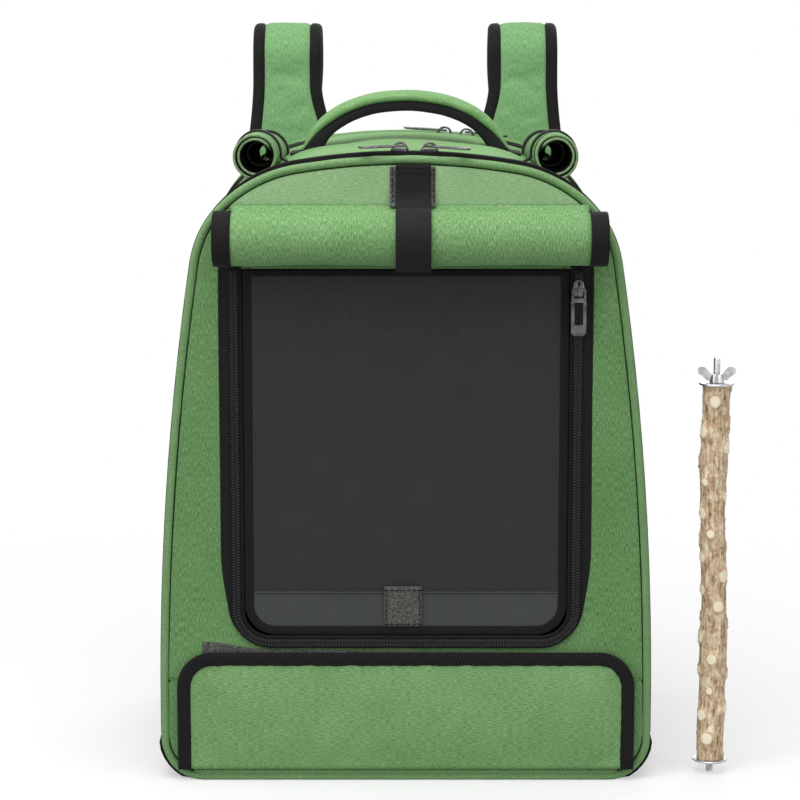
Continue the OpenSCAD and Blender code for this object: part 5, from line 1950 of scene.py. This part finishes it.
@dataclass(frozen=True)
class Straps:
    """The two shoulder straps, which stand up behind the bag, with their webbing and locks."""

    x: float = 92.0
    width: float = 52.0
    thick: float = 8.0
    top: float = 530.0
    fold: float = 24.0
    edge: float = 8.5
    foot_z: float = 412.0
    end_z: float = 300.0
    splay: float = 14.0
    foot_out: float = 6.0
    foot_in: float = 19.0
    foot_rise: float = 74.0
    bar: float = 3.9

    def path(self, step: float) -> Points:
        """The middle of the strap seen from the side, as y and z, from its foot to its end."""
        up = (BACK_Y + 15.0, self.top - self.thick / 2 - self.fold)
        foot = (BACK_Y + 1.6 + self.thick / 2, self.foot_z)
        down = (up[0] + 2 * self.fold + 8, self.end_z)
        bend = arc((up[0] + self.fold, up[1]), self.fold, 168, 4, 9)
        return rounded_path([(foot[0] - 0.4, foot[1] - 5), foot, (foot[0] + 0.5, foot[1] + 18),
                             (foot[0] + 3, foot[1] + 38), (up[0] - 1.0, up[1] - 14), *bend,
                             (down[0] - 3, down[1] + 120), (down[0], down[1] + 60), down], step)

    def edges(self, path: Points) -> tuple[Points, Points]:
        """The strap's outer and inner edge at each point of its path, on the right side."""
        z = path[:, 1]
        front = np.arange(len(path)) < int(np.argmax(z))
        rise = smooth((z - self.foot_z + 7) / (self.foot_rise + 7))
        outer = self.x + self.width / 2 + self.foot_out * (1 - rise)
        inner = self.x - self.width / 2 - self.foot_in * (1 - rise)
        up_z = self.top - self.thick / 2 - self.fold
        fall = smooth((z - self.end_z - 70) / (up_z - self.end_z - 70))
        middle = self.x + self.splay * (1 - fall)
        taper = 8.0 * (1 - smooth((z - self.end_z) / 16))
        return (np.where(front, outer, middle + self.width / 2 - taper),
                np.where(front, inner, middle - self.width / 2 + taper))

    def build(self) -> None:
        """Makes both straps."""
        path = self.path(3.0)
        outer, inner = self.edges(path)
        face = -side_on(right_of(path))
        at = lengths(path)
        u = np.linspace(-1, 1, 27)
        middle, half = (outer + inner) / 2, (outer - inner) / 2 - self.edge + 0.6
        x = middle[:, None] + half[:, None] * u
        place = spread(x, path[:, :1], path[:, 1:])
        row, col = np.indices((len(at), 2 * len(u)))
        for side, name in SIDES:
            waves = ripple(at[:, None], u * 25, 48, 130 + side)
            height = self.thick / 2 * (0.62 + 0.5 * (1 - u ** 6) ** 0.5 * (1 + 0.09 * waves))
            out = face[:, None] * height[..., None]
            grid = np.concatenate([place + out, (place - out * 0.94)[:, ::-1]], 1)
            grid[..., 0] *= side
            # The pads' heather is painted lighter, a painted sheen of the light from above.
            obj = grid_piece(f"strap_pad_{name}_cloth", grid, [HEATHER_STRAP_PAINTED_SHEEN, SPACER], ring=True,
                             caps=True, picks=col[0] >= len(u))
            fill_out(obj, (row < 4) | (row > len(at) - 5) | (col < 3) | (col > 23), 4.0, 1.6)
            seat(obj, Body.CARRIER, Slot.HEATHER, f"strap_pad_{name}")
            for sign, edge, label in ((1, outer, "outer"), (-1, inner, "inner")):
                squash = 1 + 0.06 * ripple(at, 0 * at, 21, 140 + side + sign)
                section = flat_section(self.edge + 2.0, self.thick * 1.1, 7, 5)
                band = swept(f"strap_binding_{name}_{label}",
                             side_on(path, edge - sign * (self.edge / 2 + 0.2)), RIGHTWARDS, face,
                             section * spread(1, squash)[:, None], TWILL, side)
                seat(band, Body.CARRIER, Slot.BINDING, f"strap_binding_{name}")
            self.webbing(side, name)
        crisp_copy("ladder_locks", 0.6, ACETAL, Body.CARRIER, Slot.PLASTIC)
        self.anchors()

    def webbing(self, side: int, name: str) -> None:
        """The loop over the lock and the long webbing down to the anchor."""
        y, z = BACK_Y + 15 + 2 * self.fold + 8, self.end_z - 12 - 34
        r, low_bar, high_bar = self.bar, z + 12.5, z + 33.5
        upper = np.vstack([[[y - r, self.end_z + 6]], arc((y, high_bar), r, 180, 360, 12),
                           [[y + r, self.end_z + 6]]])
        foot = BACK_Y + 2.3
        rise = rounded_path([(foot - 2.2, 50), (foot - 1.4, 61), (foot + 2.4, 78), (y - 26, z - 60),
                             (y - r - 3, z - 10), (y - r, low_bar - 2)], 3.0)
        over = arc((y, low_bar), r, 176, 4, 12)
        hang = rounded_path([over[-1], (y + r + 0.6, z - 18), (y + r + 3.5, z - 46),
                             (y + r + 1.0, z - 70)], 3.0)
        lower = np.vstack([rise, over, hang[1:]])
        for path, label in ((spaced(upper, 1.2), "loop"), (spaced(lower, 2.0), "long")):
            obj = ribbon(f"strap_webbing_{name}_{label}", path, self.x + self.splay,
                         flat_section(25.0, 1.5, 3, 10), RIBBED, side)
            seat(obj, Body.CARRIER, Slot.WEBBING, f"strap_webbing_{name}")

    def anchors(self) -> None:
        """The sewn triangles that hold the webbing's lower ends."""
        x, half = self.x + self.splay, 25.0 / 2 + 2
        z = np.linspace(20.4, 62, 16)[:, None]
        share = (z - z[0]) / (z[-1] - z[0])
        left = x - 20 + share * (20 - half)
        right = x + 34 + share * (half - 34)
        across = left + (right - left) * np.linspace(0, 1, 14)
        for side, name in SIDES:
            obj = grid_piece(f"strap_anchor_{name}", spread(side * across, BACK_Y + 1.5, z),
                             [HEATHER_UP, TWILL, TWILL], flat_uv=True)
            thicken(obj, 1.6, lining=1, rim=2)
            seat(obj, Body.CARRIER, Slot.HEATHER, "strap_anchors")


# ---------------------------------------------------------------- perch


@dataclass(frozen=True)
class Perch:
    """The natural branch with its washers, threaded studs and wing nut."""

    x: float = 219.0
    y: float = -100.0
    low: float = 10.0
    length: float = 272.0
    radius: float = 9.0
    knots: int = 38
    stud_r: float = 2.5
    pitch: float = 0.8
    washer_r: float = 12.5
    washer_t: float = 1.4

    def turned(self, name: str, radius: Points, turn: Points, z: Points, finish: Finish,
               bend: tuple = (0.0, 0.0)) -> Object:
        """A closed round piece about the perch's axis.

        Args:
            name: the piece's name.
            radius: its radius at each level and angle.
            turn: the angles in radians.
            z: its levels, as a column.
            finish: its finish.
            bend: how far its middle lies off the axis in x and y.

        Returns:
            The piece.
        """
        grid = spread(self.x + bend[0] + radius * np.cos(turn),
                      self.y + bend[1] + radius * np.sin(turn), z)
        return grid_piece(name, grid, [finish], ring=True, caps=True)

    def branch(self) -> None:
        """The branch, slightly bent, with trimmed knots that stand out of its bark."""
        z = np.linspace(0, 1, 261)[:, None]
        a = np.linspace(0, 360, 57)[None, :-1]
        marks = np.arange(self.knots)
        chance = np.random.default_rng(150).uniform(-0.5, 0.5, (3, self.knots))
        size = 0.8 + 0.55 * chance[0]
        dz = (z[..., None] - (marks + 0.5 + chance[1]) / self.knots) * self.length / 6.0 / size
        gap = np.abs((a[..., None] - marks * 137.5 - 80 * chance[2] + 540) % 360 - 180) / 32 / size
        swell = np.exp(-(dz ** 2 + gap ** 2)).max(-1)
        body = 1 + 0.05 * np.sin(np.radians(a * 2 + z * 500)) + 0.04 * np.sin(np.radians(z * 1500))
        flat = smooth((swell - 0.62) / 0.2)
        fine = 0.42 * ripple(a * 0.4, z * 90, 6, 151) + 0.28 * ripple(a * 0.3, z * 260, 5, 152)
        radius = self.radius * body + 1.9 * np.minimum(swell, 0.8) + fine * (1 - flat)
        radius = radius + 0.5 * np.exp(-((swell - 0.56) / 0.09) ** 2)
        bend = 1.6 * np.sin(np.radians(z * 180))
        obj = self.turned("perch_branch_bark", radius, np.radians(a), self.low + z * self.length,
                          BARK, (bend * np.sin(np.radians(z * 340)),
                                 bend * np.cos(np.radians(z * 260))))
        mark = obj.data.attributes.new("knot", "FLOAT", "POINT")
        mark.data.foreach_set("value", swell.astype(np.float32).ravel())
        seat(obj, Body.CARRIER, Slot.WOOD, "perch_branch")

    def thread(self, name: str, low: float, high: float) -> None:
        """A stud with a metric thread."""
        rows = int((high - low) / self.pitch * 6)
        z = np.linspace(low + 0.4, high - 0.4, rows)[:, None]
        turn = np.linspace(0, 2 * math.pi, 21)[:-1]
        phase = (z / self.pitch - turn / (2 * math.pi)) % 1.0
        r = self.stud_r - 0.42 * np.abs(2 * phase - 1) ** 1.3
        end = np.full((1, len(turn)), 1.7)
        obj = self.turned(name, np.vstack([end, r, end]), turn, np.vstack([[[low]], z, [[high]]]),
                          ZINC)
        seat(obj, Body.CARRIER, Slot.STEEL, "perch_studs")

    def washer(self, name: str, low: float) -> None:
        """A flat washer with broken edges."""
        r, t, b = self.washer_r, self.washer_t, 0.25
        p = np.array([(r - 3, low), (r - b, low), (r, low + b), (r, low + t - b), (r - b, low + t),
                      (r - 3, low + t)])
        turn = np.linspace(0, 2 * math.pi, 41)[:-1]
        obj = self.turned(name, p[:, :1], turn, p[:, 1:], ZINC)
        obj.data.set_sharp_from_angle(angle=math.radians(40))
        seat(obj, Body.CARRIER, Slot.STEEL, "perch_studs")

    def build(self) -> None:
        """Makes the perch."""
        self.branch()
        top = self.low + self.length
        self.washer("perch_washer_low", self.low - self.washer_t)
        self.washer("perch_washer_high", top)
        self.thread("perch_stud_low", 0.0, self.low)
        self.thread("perch_stud_high", top, top + 19.0)
        crisp_copy("perch_wing_nut", 0.45, ZINC, "perch_wing_nut", Slot.STEEL)


# ---------------------------------------------------------------- stitching


def straight(a: Spot, b: Spot) -> Points:
    """A straight line between two points, as many close points."""
    a, b = np.asarray(a, float), np.asarray(b, float)
    count = max(3, int(np.linalg.norm(b - a) / 1.5))
    return a + (b - a) * np.linspace(0, 1, count)[:, None]


def around(corners: Sequence[Spot]) -> list[Points]:
    """The straight lines from each corner to the next and back to the first."""
    return [straight(a, b) for a, b in zip(corners, [*corners[1:], corners[0]])]


class Stitching:
    """The rows of thread that can be seen on bindings, webbing, patches and seams."""

    def __init__(self, rows: RowOfCopies, shapes: SmallShapes) -> None:
        """Makes the stitch that all rows repeat.

        Args:
            rows: the tree that sets the stitches.
            shapes: where small meshes are made.
        """
        self.rows = rows
        self.one = shapes.stitch(2.6, 0.75)

    def laid(self, name: str, path: Points, towards: Points, lift: float) -> list[tuple]:
        """Lets a line down onto a piece.

        Args:
            name: the piece's name.
            path: points outside the piece, in millimetres.
            towards: the way down, one direction or one for each point.
            lift: how far over the piece the line comes to lie, in millimetres.

        Returns:
            The runs of points that landed, each with the directions that are up there.
        """
        mesh = bpy.data.objects[name].data
        tree = BVHTree.FromPolygons([v.co for v in mesh.vertices],
                                    [p.vertices for p in mesh.polygons])
        runs: list[tuple] = [([], [])]
        for point, way in zip(path, np.broadcast_to(towards, path.shape)):
            spot, normal, _, _ = tree.ray_cast(Vector(point * MM), Vector(way), 0.06)
            if spot is None:
                runs.append(([], []))
                continue
            sign = -1.0 if normal.dot(Vector(way)) > 0 else 1.0
            runs[-1][0].append(np.array(spot) / MM + sign * np.array(normal) * lift)
            runs[-1][1].append(sign * np.array(normal))
        return [(np.array(spots), np.array(ups)) for spots, ups in runs if len(spots) > 2]

    def sew(self, name: str, body: Body, slot: Slot, lines: Sequence[tuple],
            thread: Finish = BLACK_THREAD, lift: float = 0.08) -> None:
        """Sews rows of stitches.

        Args:
            name: the new piece's name.
            body: the body that the rows ride on.
            slot: the material slot.
            lines: for each row the piece it is on, its line and the way down to the piece.
            thread: the thread's finish.
            lift: how far over the piece the stitches' feet lie, in millimetres.
        """
        runs = [run for piece, path, towards in lines
                for run in self.laid(piece, path, np.asarray(towards, float), lift)]
        seat(self.rows.run(name, runs, self.one, 3.5, thread), body, slot)

    def front(self) -> None:
        """The rows that are seen from the front."""
        way, out = BACKWARDS, -150.0
        flap, door, roll = TrayFlap(), WindowDoor(), FrontRoll()
        edge = at_depth(flap.path(flap.binding - 1.9, 2.0), out)
        self.sew("tray_flap_stitches", Body.FLAP, Slot.BINDING, [("tray_flap_edge", edge, way)])
        edge = at_depth(door.edge_path(2.0, door.border - 1.6), out)
        self.sew("window_stitches", Body.DOOR, Slot.BINDING, [("window_binding", edge, way)],
                 lift=-0.35)
        x = WINDOW.half_width + 9.6
        self.sew("window_zip_stitches", Body.COVER, Slot.TAPE, [
            ("window_zip_tape_cloth",
             straight((s * x, out, WINDOW.low + 72), (s * x, out, WINDOW.top)), way)
            for s in (-1, 1)])
        x = roll.strap_x
        lines = [("front_roll_webbing", straight((x - 10, out, h), (x + 10, out, h)), way)
                 for h in (436.0, 432.6)]
        lines += [("roll_strap_patch", straight((x + s, out, 413), (x + s, out, 435)), way)
                  for s in (-14.4, 14.4)]
        turn = arc(roll.centre, roll.radius + 12, 88, 300, 90)
        towards = side_on(unit(np.array(roll.centre) - turn))
        for side, name in SIDES[::-1]:
            at = roll.middle + side * (roll.half - roll.binding + 1.6)
            lines.append((f"front_roll_binding_{name}", side_on(turn, at), towards))
        self.sew("roll_stitches", Body.COVER, Slot.BINDING, lines)
        low, high, left, right = 113.4, 138.4, -13.8, 9.8
        square = [(left, out, low), (right, out, low), (right, out, high), (left, out, high)]
        self.sew("door_patch_stitches", Body.DOOR, Slot.HOOKS,
                 [("window_loop_patch", path, way) for path in around(square)])
        self.sew("front_seam_stitches", Body.COVER, Slot.HEATHER, [
            ("front_panel_cloth", straight((s * 170, out, 74.6), (s * 158, out, 74.6)), way)
            for s in (-1, 1)], GREEN_THREAD)

    def sides(self) -> None:
        """The rows on the side windows and along the base's seam."""
        shell, lines, seams = Shell(), [], []
        ring = shell.frame_path(8.0, 2.0)
        middle = (shell.side_low + shell.side_high) / 2
        for side, name in SIDES:
            x, way = side * 205, -side * RIGHTWARDS
            for grow in (3.4, -3.4):
                share = np.array([1 + grow / (shell.side_half + 5),
                                  1 + grow / (shell.side_high - middle + 5)])
                path = (ring - [0, middle]) * share + [0, middle]
                lines.append((f"side_window_binding_{name}", side_on(path, x), way))
            for piece, level in ((f"gusset_{name}_cloth", BASE_Z + 3), ("base_cloth", BASE_Z - 3)):
                seams.append((piece, straight((x, -100, level), (x, 100, level)), way))
        self.sew("side_window_stitches", Body.CARRIER, Slot.BINDING, lines)
        self.sew("base_seam_stitches", Body.CARRIER, Slot.HEATHER, seams, GREEN_THREAD)

    def back(self) -> None:
        """The rows round the back pad and on the yoke, the anchors and the straps."""
        way, out = FRONTWARDS, 150.0
        pad = WindowOutline(94.0, 56.0, 396.0, 21.0).loop(2.0)
        lines = [("back_panel_cloth", at_depth(pad, out), way)]
        lines += [("yoke_cloth", straight((-half, out, level), (half, out, level)), way)
                  for level, half in ((407.0, 146.0), (438.0, 60.0))]
        straps = Straps()
        x = straps.x + straps.splay
        for side, name in SIDES:
            corners = [(side * (x + dx), out, z) for dx, z in ((-16, 23), (30, 23), (11, 59),
                                                               (-12, 59))]
            lines += [(f"strap_anchor_{name}", path, way) for path in around(corners)]
        self.sew("back_stitches", Body.CARRIER, Slot.BINDING, lines)
        path = straps.path(2.0)
        outer, inner = straps.edges(path)
        face = -side_on(right_of(path))
        lines = [(f"strap_binding_{name}_{label}",
                  side_on(path, side * (edge - sign * 6.6)) + 9 * face, -face)
                 for side, name in SIDES
                 for sign, edge, label in ((1, outer, "outer"), (-1, inner, "inner"))]
        self.sew("strap_stitches", Body.CARRIER, Slot.BINDING, lines)

    def build(self) -> None:
        """Sews every row."""
        self.front()
        self.sides()
        self.back()


# ---------------------------------------------------------------- studio


@dataclass(frozen=True)
class Studio:
    """The camera, the lights and the white sweep of a product picture."""

    eye: tuple = (-4.134, -1920.0, 560.0)
    pitch: float = 9.0268
    lens: float = 117.56
    daylight: float = 0.36

    def camera(self) -> None:
        """Sets the camera where the photo was taken from."""
        data = bpy.data.cameras.new("camera")
        data.lens = self.lens
        data.sensor_width = 36
        data.clip_end = 50
        obj = placed("camera", data)
        obj.location = [v * MM for v in self.eye]
        obj.rotation_euler = (math.radians(90 - self.pitch), 0, 0)
        bpy.context.scene.camera = obj

    def soft_light(self, name: str, place: Spot, size: float, watts: float) -> Object:
        """A square softbox that looks at the bag, with its place in millimetres."""
        data = bpy.data.lights.new(name, "AREA")
        data.energy = watts
        data.size = size * MM
        obj = placed(name, data)
        obj.location = [v * MM for v in place]
        away = Vector((0, 0, 220)) - Vector(place)
        obj.rotation_euler = away.to_track_quat("-Z", "Y").to_euler()
        return obj

    def floor(self) -> Object:
        """A pale floor that fades into the white behind it."""
        bench = Bench("studio_floor")
        away = bench.add("VectorMath", {0: bench.place(Placing.PLACE)}, operation="LENGTH")["Value"]
        far = bench.ramp(bench.math("DIVIDE", away, 2600.0), (0.06, 0.42), (0.3, 1.0))
        paper = bench.add("BsdfDiffuse", {"Color": (0.92, 0.92, 0.92, 1)})[0]
        clear = bench.add("BsdfTransparent", {})[0]
        mix = bench.add("MixShader", {0: far, 1: paper, 2: clear})[0]
        bench.add("OutputMaterial", {"Surface": mix})
        mesh = bpy.data.meshes.new("studio_floor")
        r = 2.6
        mesh.from_pydata([(-r, -r, 0), (r, -r, 0), (r, r, 0), (-r, r, 0)], [], [(0, 1, 2, 3)])
        mesh.materials.append(bench.material)
        return placed("studio_floor", mesh)

    def sky(self) -> None:
        """White for the camera and in reflections, and a softer grey light for the object."""
        world = bpy.data.worlds.new("studio")
        world.use_nodes = True
        tree = world.node_tree
        tree.nodes.clear()
        seen = wired(tree, "ShaderNodeLightPath", {}).outputs
        white = seen["Is Camera Ray"]
        for ray in ("Is Glossy Ray", "Is Transmission Ray"):
            white = wired(tree, "ShaderNodeMath", {0: white, 1: seen[ray]},
                          operation="MAXIMUM").outputs[0]
        lights = [wired(tree, "ShaderNodeBackground", {"Color": (1, 1, 1, 1), "Strength": strength})
                  for strength in (self.daylight, 1.0)]
        mix = wired(tree, "ShaderNodeMixShader", {
            0: white, 1: lights[0].outputs[0], 2: lights[1].outputs[0]})
        wired(tree, "ShaderNodeOutputWorld", {0: mix.outputs[0]})
        bpy.context.scene.world = world

    def build(self) -> None:
        """Sets up the whole studio."""
        self.camera()
        self.sky()
        staged = [self.floor(),
                  self.soft_light("light_above", (-200, -450, 1500), 1400, 20),
                  self.soft_light("light_left", (-1300, -1200, 900), 900, 8),
                  self.soft_light("light_right", (1300, -1000, 700), 900, 5),
                  self.soft_light("light_behind", (500, 1300, 1100), 900, 7)]
        bpy.context.scene.view_settings.view_transform = "Standard"


# ---------------------------------------------------------------- the whole


def main() -> None:
    """Builds the carrier, piece by piece, and its studio."""
    logging.basicConfig(level=logging.INFO, format="%(message)s")
    shapes, rows = SmallShapes(), RowOfCopies()
    FrontPanel().build()
    Pipings().build()
    Shell().build()
    BackPad().build()
    Zips(rows, shapes).build()
    FrontRoll().build()
    SideRolls().build()
    WindowDoor().build()
    TrayFlap().build()
    Handle().build()
    Straps().build()
    crisp_copy("tray", 0.5, TRAY_STEEL, Body.CARRIER, Slot.TRAY)
    Perch().build()
    Stitching(rows, shapes).build()
    shapes.clear()
    Studio().build()


if __name__ == "__main__":
    main()
